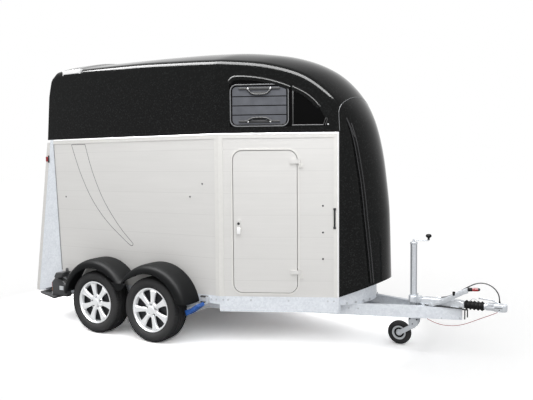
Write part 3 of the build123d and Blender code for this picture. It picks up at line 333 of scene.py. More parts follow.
def copies(bm, matrices):
    """Repeats what the bmesh holds at each of the given places instead of where it is."""
    pattern = list(bm.verts) + list(bm.edges) + list(bm.faces)
    for matrix in matrices:
        made = bmesh.ops.duplicate(bm, geom=pattern)["geom"]
        verts = [item for item in made if isinstance(item, bmesh.types.BMVert)]
        bmesh.ops.transform(bm, matrix=matrix, verts=verts)
    bmesh.ops.delete(bm, geom=[g for g in pattern if isinstance(g, bmesh.types.BMVert)], context="VERTS")


def merge(bm, other):
    """Moves what another bmesh holds into this one."""
    mesh = bpy.data.meshes.new("part")
    other.to_mesh(mesh)
    other.free()
    bm.from_mesh(mesh)
    bpy.data.meshes.remove(mesh)


def mirror_over(bm):
    """Moves all shapes to the other side of the trailer."""
    bmesh.ops.scale(bm, verts=bm.verts, vec=(1, -1, 1))
    bmesh.ops.reverse_faces(bm, faces=bm.faces)


def both_sides(bm):
    """Adds the same shapes mirrored to the trailer's left."""
    made = bmesh.ops.duplicate(bm, geom=list(bm.verts) + list(bm.edges) + list(bm.faces))["geom"]
    verts = [item for item in made if isinstance(item, bmesh.types.BMVert)]
    faces = [item for item in made if isinstance(item, bmesh.types.BMFace)]
    bmesh.ops.scale(bm, verts=verts, vec=(1, -1, 1))
    bmesh.ops.reverse_faces(bm, faces=faces)


def put_on(bm, wall):
    """Places shapes drawn on a wall's panel there, on both sides of the trailer."""
    bm.transform(wall)
    both_sides(bm)
    return bm


def as_object(name, bm, recalculate=True):
    """A linked object from a bmesh in millimetres."""
    bmesh.ops.remove_doubles(bm, verts=bm.verts, dist=WELD)
    if recalculate:
        bmesh.ops.recalc_face_normals(bm, faces=bm.faces)
    bm.transform(ROW)
    mesh = bpy.data.meshes.new(name)
    bm.to_mesh(mesh)
    bm.free()
    piece = bpy.data.objects.new(name, mesh)
    bpy.context.scene.collection.objects.link(piece)
    return piece


def dress(piece, finish, body="root", nodes=(), angle=30.0):
    """Gives a piece its shading, finish and body, and hides the nodes that it stands for."""
    mesh = piece.data
    mesh.shade_smooth()
    mesh.set_sharp_from_angle(angle=radians(angle))
    mesh.materials.clear()
    mesh.materials.append(finish_of(finish))
    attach(piece, body)
    if nodes:
        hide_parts(*nodes)
    return piece


def make(name, bm, finish, body="root", nodes=(), angle=30.0):
    return dress(as_object(name, bm), finish, body, nodes, angle)


def carve(piece, cutter, operation="DIFFERENCE"):
    """Cuts a piece with another object, which is used up."""
    cut = piece.modifiers.new("cut", "BOOLEAN")
    cut.operation = operation
    cut.solver = "EXACT"
    cut.object = cutter
    bake(piece)
    bpy.data.objects.remove(cutter)


def bake(piece):
    """Replaces a piece's mesh by what its modifiers make of it."""
    view = bpy.context.evaluated_depsgraph_get()
    view.update()
    mesh = bpy.data.meshes.new_from_object(piece.evaluated_get(view))
    piece.modifiers.clear()
    piece.data = mesh


def cut_from(bm, cutter):
    """The shape that is left of one closed shape when another is cut from it."""
    piece = as_object("blank", bm)
    carve(piece, as_object("cutter", cutter))
    left = bmesh.new()
    left.from_mesh(piece.data)
    left.transform(ROW.inverted())
    bpy.data.objects.remove(piece)
    return left


def copy_of(piece, name):
    twin = bpy.data.objects.new(name, piece.data.copy())
    bpy.context.scene.collection.objects.link(twin)
    return twin


# Finishes


def add_node(tree, kind, links=None, **settings):
    """Adds a node; links maps its sockets to values or to other nodes' outputs."""
    item = tree.nodes.new(kind)
    for name, value in settings.items():
        setattr(item, name, value)
    for name, value in (links or {}).items():
        if isinstance(value, bpy.types.NodeSocket):
            tree.links.new(value, item.inputs[name])
        else:
            item.inputs[name].default_value = value
    return item


def rgba(value):
    return (*(linear(value) if isinstance(value, str) else value), 1.0)


def start_finish(name, roughness, metallic=0.0, **sockets):
    """A new material with its shader, and the place on the piece as its pattern's input."""
    material = bpy.data.materials.new(name)
    material.use_nodes = True
    tree = material.node_tree
    shader = tree.nodes["Principled BSDF"]
    shader.inputs["Metallic"].default_value = metallic
    shader.inputs["Roughness"].default_value = roughness
    for socket, value in sockets.items():
        shader.inputs[socket.replace("_", " ")].default_value = value
    place = add_node(tree, "ShaderNodeTexCoord").outputs["Object"]
    return material, tree, shader, place


def blend_colours(tree, shader, factor, first, second):
    """Colours the shader between two colours, and gives the mixed colour."""
    mix = add_node(
        tree,
        "ShaderNodeMix",
        {"Factor": factor, 6: rgba(first), 7: rgba(second)},
        data_type="RGBA",
    )
    tree.links.new(mix.outputs[2], shader.inputs["Base Color"])
    return mix.outputs[2]


def vary_roughness(tree, shader, factor, low, high):
    spread = add_node(tree, "ShaderNodeMapRange", {"Value": factor, "To Min": low, "To Max": high})
    tree.links.new(spread.outputs["Result"], shader.inputs["Roughness"])


def raise_surface(tree, shader, height, distance, strength=1.0, under=None):
    links = {"Height": height, "Distance": distance * MM, "Strength": strength}
    if under:
        links["Normal"] = under
    bump = add_node(tree, "ShaderNodeBump", links)
    tree.links.new(bump.outputs["Normal"], shader.inputs["Normal"])
    return bump.outputs["Normal"]


def grain(tree, place, size, detail=3.0, stretch=(1, 1, 1)):
    """Cloudy pattern with features of the given size in millimetres."""
    spread = add_node(tree, "ShaderNodeMapping", {"Vector": place, "Scale": stretch})
    noise = add_node(
        tree,
        "ShaderNodeTexNoise",
        {"Vector": spread.outputs["Vector"], "Scale": 1 / (size * MM), "Detail": detail},
    )
    return noise.outputs["Fac"]


def plain_finish(name, first, second, size, rough, metallic=0.0, bump=0.0, **sockets):
    """A finish whose colour, gloss and fine relief vary together."""
    material, tree, shader, place = start_finish(name, rough[0], metallic, **sockets)
    pattern = grain(tree, place, size)
    blend_colours(tree, shader, pattern, first, second)
    vary_roughness(tree, shader, pattern, *rough)
    if bump:
        raise_surface(tree, shader, pattern, bump)
    return material


def galvanised_steel(name):
    # Hot-dip zinc: pale blue-grey crystals of 15 mm, each with its own shade and gloss
    material, tree, shader, place = start_finish(name, 0.5, 0.1, Specular_IOR_Level=0.25)
    cells = add_node(
        tree, "ShaderNodeTexVoronoi", {"Vector": place, "Scale": 1 / (15 * MM)}, feature="F1"
    ).outputs["Color"]
    tone = add_node(tree, "ShaderNodeSeparateColor", {"Color": cells}).outputs["Red"]
    cloud = grain(tree, place, 120.0)
    mixed = add_node(
        tree, "ShaderNodeMath", {0: tone, 1: cloud}, operation="ADD", use_clamp=False
    ).outputs["Value"]
    half = add_node(tree, "ShaderNodeMath", {0: mixed, 1: 0.5}, operation="MULTIPLY").outputs["Value"]
    blend_colours(tree, shader, half, "#cbd0d7", "#e4e8ed")
    vary_roughness(tree, shader, half, 0.45, 0.6)
    raise_surface(tree, shader, cloud, 0.4)
    return material


# Extruded planks: height of each, where the first seam lies, width of a seam, pitch of the ribs
PLANK_PITCH = 196.5
PLANK_FIRST_Z = 21.5
PLANK_SEAM_W = 2.2
PLANK_RIB_PITCH = 7.0


def anodised_planks(name):
    # Extruded aluminium, anodised: pale silver with fine ribs and a dark seam between planks
    settings = bpy.context.scene.trailer_walls
    material, tree, shader, place = start_finish(name, 0.5, 0.1, Specular_IOR_Level=0.25)
    parts = add_node(tree, "ShaderNodeSeparateXYZ", {"Vector": place})
    ribs = add_node(
        tree,
        "ShaderNodeMath",
        {0: parts.outputs["Z"], 1: 2 * pi / (PLANK_RIB_PITCH * MM)},
        operation="MULTIPLY",
    )
    wave = add_node(tree, "ShaderNodeMath", {0: ribs.outputs[0]}, operation="SINE").outputs[0]
    lifted = add_node(
        tree, "ShaderNodeMath", {0: parts.outputs["Z"], 1: -PLANK_FIRST_Z * MM}, operation="ADD"
    ).outputs[0]
    seam = add_node(
        tree, "ShaderNodeMath", {0: lifted, 1: PLANK_PITCH / 2 * MM}, operation="PINGPONG"
    ).outputs[0]
    groove = add_node(
        tree, "ShaderNodeMapRange", {"Value": seam, "From Min": 0.0, "From Max": PLANK_SEAM_W * MM}
    ).outputs["Result"]
    streaks = grain(tree, place, 60.0, stretch=(0.12, 0.12, 3.0))
    tone = blend_colours(tree, shader, streaks, [c * 0.93 for c in settings.planks], settings.planks)
    shaded = add_node(
        tree,
        "ShaderNodeMix",
        {"Factor": groove, 6: rgba([c * 0.8 for c in settings.planks]), 7: tone},
        data_type="RGBA",
    )
    tree.links.new(shaded.outputs[2], shader.inputs["Base Color"])
    vary_roughness(tree, shader, streaks, 0.5, 0.62)
    under = raise_surface(tree, shader, wave, 0.22, 0.5)
    raise_surface(tree, shader, groove, 0.3, 0.6, under)
    return material


def black_gelcoat(name):
    # Black gelcoat with metal flake under clear lacquer: fine sparks that show from a step away
    settings = bpy.context.scene.trailer_shell
    material, tree, shader, place = start_finish(name, 0.12, 0.0, Specular_IOR_Level=0.09)
    flakes = add_node(tree, "ShaderNodeTexVoronoi", {"Vector": place, "Scale": 1 / (9 * MM)})
    tone = add_node(tree, "ShaderNodeSeparateColor", {"Color": flakes.outputs["Color"]}).outputs["Red"]
    spark = add_node(
        tree, "ShaderNodeMath", {0: tone, 1: 5.0}, operation="POWER"
    ).outputs["Value"]
    lacquer = list(settings.lacquer)
    blend_colours(tree, shader, spark, [c * 0.55 for c in lacquer], [c * 1.5 for c in lacquer])
    cloud = grain(tree, place, 400.0)
    vary_roughness(tree, shader, cloud, 0.09, 0.14)
    return material


def woven_fabric(name):
    # Coated polyester: a 3 mm weave, drawn coarse enough to show, and a dull sheen
    material, tree, shader, place = start_finish(name, 0.75, 0.0, Sheen_Weight=0.2)
    threads = []
    for axis in ("Y", "Z"):
        part = add_node(tree, "ShaderNodeSeparateXYZ", {"Vector": place}).outputs[axis]
        turns = add_node(tree, "ShaderNodeMath", {0: part, 1: 2 * pi / (3 * MM)}, operation="MULTIPLY")
        threads.append(add_node(tree, "ShaderNodeMath", {0: turns.outputs[0]}, operation="SINE"))
    weave = add_node(
        tree,
        "ShaderNodeMath",
        {0: threads[0].outputs[0], 1: threads[1].outputs[0]},
        operation="MULTIPLY",
    ).outputs[0]
    cloud = grain(tree, place, 90.0)
    blend_colours(tree, shader, cloud, "#24262a", "#2f3237")
    raise_surface(tree, shader, weave, 0.5, 0.6)
    return material


def ribbed_rubber(name):
    # Moulded rubber mat: ribs 12 mm apart across the ramp and a chalky bloom
    material, tree, shader, place = start_finish(name, 0.85)
    part = add_node(tree, "ShaderNodeSeparateXYZ", {"Vector": place}).outputs["Z"]
    turns = add_node(tree, "ShaderNodeMath", {0: part, 1: 2 * pi / (12 * MM)}, operation="MULTIPLY")
    ribs = add_node(tree, "ShaderNodeMath", {0: turns.outputs[0]}, operation="SINE").outputs[0]
    cloud = grain(tree, place, 40.0)
    blend_colours(tree, shader, cloud, "#1b1b1c", "#2a2a2b")
    raise_surface(tree, shader, ribs, 2.0)
    return material


def clear_lens(name, tint):
    # Moulded acrylic lens with 5 mm prisms on its back, lit up by what is round it
    material, tree, shader, place = start_finish(name, 0.08, 0.0, IOR=1.49)
    shader.inputs["Transmission Weight"].default_value = 0.25
    cells = add_node(tree, "ShaderNodeTexVoronoi", {"Vector": place, "Scale": 1 / (5 * MM)})
    shader.inputs["Base Color"].default_value = rgba(tint)
    raise_surface(tree, shader, cells.outputs["Distance"], 0.6)
    return material


# Finishes with one pattern. Columns: two colours, pattern size, gloss range, metallic, relief
# and specular level, low where a dark surface shows little of its surroundings
PLAIN = {
    # Black powder-coated steel: deep grey with a fine orange peel
    "powder_coated_steel": ("#1c1d1f", "#27282b", 6.0, (0.45, 0.6), 0.0, 0.1, 0.3),
    # Anodised aluminium profiles: smooth, pale silver, drawn lines hardly seen
    "anodised_profile": ("#d0cfcc", "#d9d8d5", 30.0, (0.48, 0.6), 0.1, 0.0, 0.25),
    # Film-faced birch plywood: brown face with faint grain
    "faced_plywood": ("#4a3527", "#5d4433", 25.0, (0.5, 0.65), 0.0, 0.2, 0.5),
    # Black acrylic gelcoat of the window fields: no flake, deep gloss
    "gloss_black": ("#030303", "#060607", 200.0, (0.08, 0.12), 0.0, 0.0, 0.06),
    # Edges of the same gelcoat, glossier, and a little greyer than it as a painted highlight
    "polished_edge_highlight": ("#1d1e20", "#2a2b2d", 60.0, (0.16, 0.24), 0.0, 0.0, 0.5),
    # Grey ABS shutter: satin, slightly streaked by moulding
    "grey_abs": ("#4a4c52", "#5b5e66", 60.0, (0.3, 0.42), 0.1, 0.05, 0.4),
    # Grey polypropylene of the bumper tray and lamp housings: moulded, dull, a little chalky
    "grey_polypropylene": ("#2c2d2f", "#3a3b3d", 4.0, (0.45, 0.6), 0.0, 0.25, 0.35),
    # Textured black polypropylene: soft sheen over a 3 mm leather grain
    "textured_polypropylene": ("#141516", "#1e1f21", 3.0, (0.5, 0.66), 0.0, 0.25, 0.25),
    # Pale grey of the thin rings round the windows and the line in the nose's seam, dull: a painted
    # highlight of their rounded edges
    "pale_highlight_grey": ("#55575a", "#66686b", 12.0, (0.5, 0.6), 0.0, 0.05, 0.4),
    # Painted plate blank: flat white with a satin gloss
    "blank_plate": ("#e9e9e6", "#f2f2ef", 60.0, (0.3, 0.4), 0.0, 0.0, 0.5),
    # Cast alloy with silver lacquer: bright, fine-grained, clear gloss
    "lacquered_alloy": ("#e2e4e6", "#f4f5f6", 4.0, (0.25, 0.34), 0.35, 0.0, 0.5),
    # Tyre rubber: charcoal with a dusty bloom
    "tyre_rubber": ("#1b1b1c", "#252526", 14.0, (0.72, 0.86), 0.0, 0.25, 0.25),
    # Dark nuts and brake parts: phosphated steel
    "phosphated_steel": ("#222326", "#34363a", 5.0, (0.4, 0.55), 0.6, 0.1, 0.5),
    # Blue polyethylene chock: even colour, waxy
    "blue_polyethylene": ("#074893", "#0d54a4", 25.0, (0.42, 0.5), 0.0, 0.05, 0.4),
    # Black rubber bellows and grips: matt with a light bloom
    "soft_rubber": ("#0f0f10", "#19191a", 8.0, (0.5, 0.65), 0.0, 0.1, 0.08),
    # Red moulded grip cap
    "red_polypropylene": ("#8e1d1f", "#a32427", 8.0, (0.35, 0.45), 0.0, 0.1, 0.4),
    # Zinc-plated steel: bright bluish silver, slightly mottled
    "zinc_plated_steel": ("#abafb4", "#cdd0d4", 9.0, (0.42, 0.55), 0.25, 0.1, 0.2),
    # Grey polyamide wheel centre
    "grey_polyamide": ("#b4b7ba", "#c6c9cc", 12.0, (0.4, 0.5), 0.3, 0.05, 0.5),
    # Black PVC sheath of the electric cable
    "pvc_sheath": ("#1b1c1e", "#27282a", 5.0, (0.4, 0.5), 0.0, 0.03, 0.3),
    # Red plastic sheath of the breakaway cable
    "red_sheath": ("#84222a", "#962b33", 5.0, (0.45, 0.55), 0.0, 0.02, 0.05),
    # Stainless handles, clasps and screws: pale satin silver
    "satin_stainless": ("#f0f1f2", "#fbfbfb", 12.0, (0.25, 0.35), 0.3, 0.0, 0.5),
    # Grey vinyl strips along the wall's edges
    "grey_vinyl": ("#85878a", "#909296", 30.0, (0.4, 0.5), 0.0, 0.0, 0.5),
}
LENSES = {"red_lens": "#a3101a", "amber_lens": "#c76a12", "white_lens": "#dfe2e4"}
SPECIAL = {
    "galvanised_steel": galvanised_steel,
    "anodised_planks": anodised_planks,
    "black_gelcoat": black_gelcoat,
    "woven_fabric": woven_fabric,
    "ribbed_rubber": ribbed_rubber,
}


def mudguard_plastic(name):
    # Rotomoulded polyethylene: charcoal, soft highlights over a fine pebble
    tint = bpy.context.scene.trailer_mudguards.tint
    dark = [c * 0.82 for c in tint]
    return plain_finish(name, dark, tint, 4.0, (0.45, 0.55), 0.0, 0.2, Specular_IOR_Level=0.05)


def outline_vinyl(name):
    # Cut vinyl line on the planks: even dark grey, dull
    tint = bpy.context.scene.trailer_walls.stripe
    return plain_finish(name, [c * 0.9 for c in tint], tint, 30.0, (0.4, 0.5))


def finish_of(name):
    """The material of that name, made when it is first asked for."""
    label = f"{name}_finish"
    if label in bpy.data.materials:
        return bpy.data.materials[label]
    if name in SPECIAL:
        return SPECIAL[name](label)
    if name in LENSES:
        return clear_lens(label, LENSES[name])
    if name == "mudguard_plastic":
        return mudguard_plastic(label)
    if name == "outline_vinyl":
        return outline_vinyl(label)
    first, second, size, rough, metallic, bump, specular = PLAIN[name]
    return plain_finish(
        label, first, second, size, rough, metallic, bump, Specular_IOR_Level=specular
    )


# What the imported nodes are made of, where they stay in view
NODE_FINISHES = {
    "galvanised_steel": [
        "frame_rail_right",
        "frame_rail_left",
        "cross_members",
        "sills",
        "rear_frame",
        "front_plate",
        "axles",
    ],
    "anodised_planks": ["rear_walls", "front_walls", "side_door_right", "side_door_left", "ramp"],
    "anodised_profile": ["corner_posts", "top_rails", "door_frames"],
    "faced_plywood": ["floor"],
    "ribbed_rubber": ["ramp_mat"],
    "powder_coated_steel": ["knuckles"],
    "phosphated_steel": [f"drum_{end}_{side}" for end in ENDS for side in SIDES],
    "blank_plate": ["number_plate"],
    "zinc_plated_steel": ["plug_holder", "chock_brackets"],
}


class TRAILER_OT_finishes(bpy.types.Operator):
    """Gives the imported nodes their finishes"""

    bl_idname = "trailer.finishes"
    bl_label = "Node finishes"

    def execute(self, context):
        for finish, nodes in NODE_FINISHES.items():
            for name in nodes:
                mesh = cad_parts[name].data
                mesh.materials.clear()
                mesh.materials.append(finish_of(finish))
        return {"FINISHED"}


# Hood and nose: flat sides up to a shoulder, and a roof that arches from shoulder to shoulder
# and runs down the front as the nose. Columns: shoulder X, shoulder Z, crown X, crown Z
ROOF = [
    (-1100.0, 2585.0, -1100.0, 2745.0),
    (-1040.0, 2626.0, -1040.0, 2800.0),
    (-780.0, 2628.0, -780.0, 2804.4),
    (-690.0, 2628.0, -690.0, 2780.0),
    (0.0, 2621.0, 0.0, 2775.0),
    (500.0, 2600.0, 500.0, 2768.0),
    (KINK_X, 2572.0, KINK_X, 2742.0),
    (1285.0, 2548.0, 1330.0, 2694.0),
    (1472.0, 2511.0, 1540.0, 2635.0),
    (1661.0, 2444.0, 1760.0, 2525.0),
    (1820.0, 2330.0, 1950.0, 2350.0),
    (1916.0, 2222.0, 2075.0, 2158.0),
    (1955.0, 2080.0, 2150.0, 1985.0),
    (POST_X, HOOD_BOTTOM_Z, 2203.0, 1780.0),
    (POST_X, 1700.0, 2238.0, 1590.0),
    (POST_X, 1200.0, 2282.0, 1186.0),
    (POST_X, WALL_BOTTOM_Z, 2300.0, 597.0),
]
# Rear edge of the hood's sides. Columns: Z, X
HOOD_REAR = [(HOOD_BOTTOM_Z, -1190.0), (2400.0, -1150.0), (2585.0, -1100.0), (2640.0, -1100.0)]
REAR_SHEAR_END_X = -700.0
# Line of each flute down the nose. Columns: Z, distance from the middle
FLUTE = [(2090, 362), (1947, 346), (1775, 331), (1514, 312), (1192, 300), (836, 276), (560, 262)]
FLUTE_HALF_W = 26.0
# Beads beside the flute, from its middle
FLUTE_EDGES = (-26.0, -5.0)
FLUTE_TOP_Z = 2075.0
FLUTE_RUN_OUT = 110.0
# Right half of the seam's arch over the nose. Columns: distance from the middle, Z
SEAM = [
    (408.0, 2088.0),
    (402.0, 2126.0),
    (388.0, 2154.0),
    (366.0, 2178.0),
    (336.0, 2198.0),
    (296.0, 2216.0),
    (212.0, 2243.0),
    (110.0, 2262.0),
    (0.0, 2268.0),
]
SEAM_GAP = 4.0
HALF_NOSE_CUT = 440.0
NOSE_CUT_FOOT_Z = 300.0
# Smooth field round each window. Columns: X, Z
RECESS = [
    (1088, 1986),
    (1088, 2390),
    (1100, 2420),
    (1128, 2435),
    (1203, 2437),
    (1337, 2417),
    (1437, 2392),
    (1571, 2336),
    (1670, 2286),
    (1736, 2236),
    (1816, 2146),
    (1868, 2047),
    (1868, 1986),
]
ROOF_ROWS = 150
ARCH_COLUMNS = 64
SHOULDER_COLUMNS = 6
SIDE_COLUMNS = 8


def lookup(table, key):
    """Value at a key between the rows of a two-column table."""
    rows = sorted(table)
    for (k0, v0), (k1, v1) in zip(rows, rows[1:]):
        if key <= k1:
            return v0 + (v1 - v0) * max(key - k0, 0) / (k1 - k0)
    return rows[-1][1]


def roof_slopes(column, steps):
    """Slopes of a smooth line through one column that never swings past its points."""
    rises = [(b - a) / step for a, b, step in zip(column, column[1:], steps)]
    slopes = [rises[0]]
    for before, after in zip(rises, rises[1:]):
        slopes.append(0.0 if before * after <= 0 else 2 * before * after / (before + after))
    return slopes + [rises[-1]]


class RoofLine:
    """The roof table as smooth lines over the distance along the crown."""

    def __init__(self):
        steps = [hypot(b[2] - a[2], b[3] - a[3]) for a, b in zip(ROOF, ROOF[1:])]
        self.stops = [0.0]
        for step in steps:
            self.stops.append(self.stops[-1] + step)
        self.columns = list(zip(*ROOF))
        self.slopes = [roof_slopes(column, steps) for column in self.columns]
        self.steps = steps

    def row(self, share):
        """Shoulder X and Z and crown X and Z at a share of the whole length."""
        distance = share * self.stops[-1]
        k = 0
        while k < len(self.steps) - 1 and distance > self.stops[k + 1]:
            k += 1
        step = self.steps[k]
        t = (distance - self.stops[k]) / step
        values = []
        for column, slope in zip(self.columns, self.slopes):
            rise = column[k + 1] - column[k]
            start = slope[k] * step
            end = slope[k + 1] * step
            cubic = start * (t**3 - 2 * t**2 + t) + end * (t**3 - t**2)
            values.append(column[k] + rise * (3 * t**2 - 2 * t**3) + cubic)
        return values


def arch_point(row, half, turn, flute=0.0):
    """Point of the arch over one row; turn runs from 0 at the crown to 1 at the right shoulder."""
    shoulder_x, shoulder_z, crown_x, crown_z = row
    rise = hypot(crown_x - shoulder_x, crown_z - shoulder_z)
    tilt = Vector(((crown_x - shoulder_x) / rise, 0, (crown_z - shoulder_z) / rise))
    radius = (half**2 + rise**2) / (2 * rise)
    reach = asin(min(half / radius, 1.0))
    if rise > half:
        reach = pi - reach
    angle = reach * turn
    out = Vector((0, -sin(angle), 0)) + tilt * cos(angle)
    centre = Vector((shoulder_x, 0, shoulder_z)) + tilt * (rise - radius)
    point = centre + out * radius
    if flute and point.z < FLUTE_TOP_Z:
        off = abs(abs(point.y) - lookup(FLUTE, point.z)) / FLUTE_HALF_W
        if off < 1:
            run = min((FLUTE_TOP_Z - point.z) / FLUTE_RUN_OUT, 1.0)
            point -= out * flute * cos(off * pi / 2) ** 2 * run
    return point, radius * reach


def shell_point(line, share, turn, rounding, flute):
    """Point of the shell; turn runs over 0..1 on the arch, 1..2 on the shoulder, 2..3 on the side."""
    row = line.row(share)
    corner = Vector((row[0], -half_width(row[0]), row[1]))
    half = -corner.y
    drop = max(corner.z - HOOD_BOTTOM_Z, 0.0)
    soft = min(rounding, drop * 0.6)
    _, reach = arch_point(row, half, 1.0)
    edge = 1 - soft / reach
    if turn <= 1:
        return shear(arch_point(row, half, edge * turn, flute)[0])
    if turn <= 2:
        t = turn - 1
        start = arch_point(row, half, edge)[0]
        end = corner - UP * soft
        return shear(start * (1 - t) ** 2 + corner * 2 * t * (1 - t) + end * t**2)
    return shear(corner - UP * (soft + (drop - soft) * (turn - 2)))


def shear(point):
    """Leans the rear end of the hood's sides back towards their foot."""
    share = (REAR_SHEAR_END_X - point.x) / (REAR_SHEAR_END_X - ROOF[0][0])
    if share > 0:
        back = lookup(HOOD_REAR, point.z) - ROOF[0][0]
        point.x += back * min(share, 1.0)
    return point


def section_turns():
    """Turns of the columns from the crown to the foot of the right side."""
    turns = [k / ARCH_COLUMNS for k in range(ARCH_COLUMNS)]
    turns += [1 + k / SHOULDER_COLUMNS for k in range(SHOULDER_COLUMNS)]
    return turns + [2 + k / SIDE_COLUMNS for k in range(SIDE_COLUMNS + 1)]


def shell_grid(settings):
    """The outer face of hood and nose as one net of faces."""
    line = RoofLine()
    turns = section_turns()
    columns = 2 * (len(turns) - 1)
    bm = bmesh.new()
    bmesh.ops.create_grid(bm, x_segments=ROOF_ROWS, y_segments=columns, size=0.5)
    low = Vector([min(v.co[i] for v in bm.verts) for i in range(3)])
    high = Vector([max(v.co[i] for v in bm.verts) for i in range(3)])
    for vert in bm.verts:
        share = (vert.co.x - low.x) / (high.x - low.x)
        across = round((vert.co.y - low.y) / (high.y - low.y) * columns) - columns // 2
        point = shell_point(
            line, share, turns[abs(across)], settings.shoulder / MM, settings.flute / MM
        )
        if across > 0:
            point.y = -point.y
        vert.co = point
    bmesh.ops.remove_doubles(bm, verts=bm.verts, dist=WELD)
    return bm


# Shares of the roof's length between which the flutes run
FLUTE_SHARES = [0.726 + 0.27 * k / 28 for k in range(29)]


def flute_line(offset, shares):
    """Points on the nose beside the right flute's middle."""
    line = RoofLine()
    points = []
    for share in shares:
        row = line.row(share)
        half = half_width(row[0])
        low, high = 0.0, 1.0
        for _ in range(20):
            turn = (low + high) / 2
            point = arch_point(row, half, turn)[0]
            if -point.y < lookup(FLUTE, point.z) + offset:
                low = turn
            else:
                high = turn
        points.append(point)
    return points


def seam_cutter(gap):
    """Arch-topped block that parts the nose from the hood."""
    right = [(-y, z) for y, z in SEAM]
    left = [(y, z) for y, z in reversed(SEAM[:-1])]
    arch = []
    for y, z in right + left:
        inward = (1 if y < 0 else -1) * gap if abs(y) > 1 else 0
        arch.append((y + inward, z - (gap if z > SEAM[0][1] else 0)))
    wide = HALF_NOSE_CUT
    step_z = HOOD_BOTTOM_Z + 1 - gap
    outline = arch + [(arch[-1][0], step_z), (wide, step_z), (wide, NOSE_CUT_FOOT_Z)]
    outline += [(-wide, NOSE_CUT_FOOT_Z), (-wide, step_z), (arch[0][0], step_z)]
    bm = bmesh.new()
    start = POST_X - 4 + gap
    prism(bm, [(start, y, z) for y, z in outline], (600, 0, 0))
    return as_object("seam_cutter", bm)


class TRAILER_OT_shell(bpy.types.Operator):
    """Makes the moulded hood and nose with their seam, flutes, window fields and openings"""

    bl_idname = "trailer.shell"
    bl_label = "Hood and nose"

    def execute(self, context):
        settings = context.scene.trailer_shell
        bm = shell_grid(settings)
        face_out(bm)
        shell = as_object("shell", bm, recalculate=False)
        wall = shell.modifiers.new("wall", "SOLIDIFY")
        wall.thickness = settings.wall
        wall.offset = -1.0
        wall.use_even_offset = False
        bake(shell)

        fields = bmesh.new()
        outline = [(along(x), z, 30.0) for x, z in RECESS]
        prism(fields, outline, (0, 0, -30.0 - settings.recess / MM))
        holes = window_hole()
        for cutter in (fields, holes):
            cutter.transform(TAPER_WALL)
            both_sides(cutter)
            carve(shell, as_object("window_cutter", cutter))

        nose = copy_of(shell, "nose_panel")
        shell.name = "hood_shell"
        carve(nose, seam_cutter(SEAM_GAP), "INTERSECT")
        carve(shell, seam_cutter(0.0))
        dress(shell, "black_gelcoat", nodes=["hood"], angle=35)
        dress(nose, "black_gelcoat", nodes=["nose"], angle=35)

        bm = bmesh.new()
        row = ROOF[-1]
        half = half_width(POST_X) - 12
        points = []
        for k in range(33):
            point, _ = arch_point(row, half, 1 - k / 16)
            points.append(point - X_AXIS * 14 + UP * 2)
        prism(bm, points, (-3, 0, 10))
        make("nose_floor", bm, "black_gelcoat")

        # Beads beside each flute and over its top, a little greyer than the gelcoat as a painted highlight
        bm = bmesh.new()
        for offset in FLUTE_EDGES:
            wire(bm, flute_line(offset, FLUTE_SHARES), 4.5)
        wire(bm, [(2017, -357, 2058), (2047, -334, 1977), (2081, -320, 1890)], 8.0)
        both_sides(bm)
        make("nose_beads", bm, "polished_edge_highlight")

        # Pale line along the seam between nose and hood: a painted highlight of the seam's edge
        context.view_layer.update()
        bm = bmesh.new()
        line = [(SEAM[0][0] + 2, 1944.0)] + SEAM[:-1]
        places = []
        for y, z in [(-y, z) for y, z in line] + [SEAM[-1]] + [(y, z) for y, z in reversed(line)]:
            for piece in (nose, shell):
                found, place, _, _ = piece.ray_cast(ROW @ Vector((2700, y, z)), (-1, 0, 0))
                if found:
                    places.append(ROW.inverted() @ place)
                    break
        wire(bm, places, 3.0)
        make("nose_seam_highlight", bm, "pale_highlight_grey")

        # Clasps on the rear of the shoulders with their pins
        bm = bmesh.new()
        block(bm, (-927, -858, 2602), (-690, -812, 2641), 6, 3)
        block(bm, (-700, -860, 2596), (-686, -814, 2646), 3)
        rod(bm, (-938, -848, 2590), (-938, -848, 2664), 4, sides=12, width=1)
        both_sides(bm)
        make("hood_clasps", bm, "satin_stainless")
        return {"FINISHED"}


# Windows
WINDOW_REAR_X = 1092.0
WINDOW_FRONT_X = 1570.0
WINDOW_BOTTOM_Z = 1987.0
WINDOW_TOP_Z = 2362.0
WINDOW_CORNER_R = 60.0
WINDOW_LAP = 12.0
WINDOW_LOW = (along(WINDOW_REAR_X), WINDOW_BOTTOM_Z)
WINDOW_HIGH = (along(WINDOW_FRONT_X), WINDOW_TOP_Z)


def window_hole():
    bm = bmesh.new()
    low = [c + WINDOW_LAP for c in WINDOW_LOW]
    high = [c - WINDOW_LAP for c in WINDOW_HIGH]
    rounded(bm, low, high, WINDOW_CORNER_R - WINDOW_LAP, 70.0)
    bmesh.ops.translate(bm, verts=bm.verts, vec=(0, 0, -50))
    return bm


def frame_ring(bm, low, high, radius, band, base, top):
    """Frame with rounded corners, its wall swept round the opening."""
    x0, z0 = low
    x1, z1 = high
    face = flat(bm, [(x0, z0, base), (x1, z0, base), (x1, z1, base), (x0, z1, base)])
    bmesh.ops.bevel(
        bm, geom=list(face.verts), offset=radius, segments=6, profile=0.5, affect="VERTICES", material=-1
    )
    face = max(bm.faces, key=lambda f: len(f.verts))
    rim = bmesh.ops.inset_individual(bm, faces=[face], thickness=band, use_even_offset=True)["faces"]
    bmesh.ops.delete(bm, geom=[face], context="FACES_ONLY")
    extrude(bm, rim, Vector((0, 0, top - base)))


# How far the shutter stays inside its frame, and the heights of the grooves between its slats
SHUTTER_INSET = 22.0
GROOVE_ZS = (2092.0, 2173.0, 2254.0)
# Rolled edge over each field, in two runs. Columns: X, Z
FIELD_EDGES = [
    [(1086, 2366), (1093, 2390), (1114, 2412), (1137, 2421), (1242, 2418)]
    + [(1377, 2396), (1511, 2356), (1578, 2324)],
    [(1600, 2324), (1655, 2295), (1710, 2262), (1765, 2212), (1816, 2149)],
]


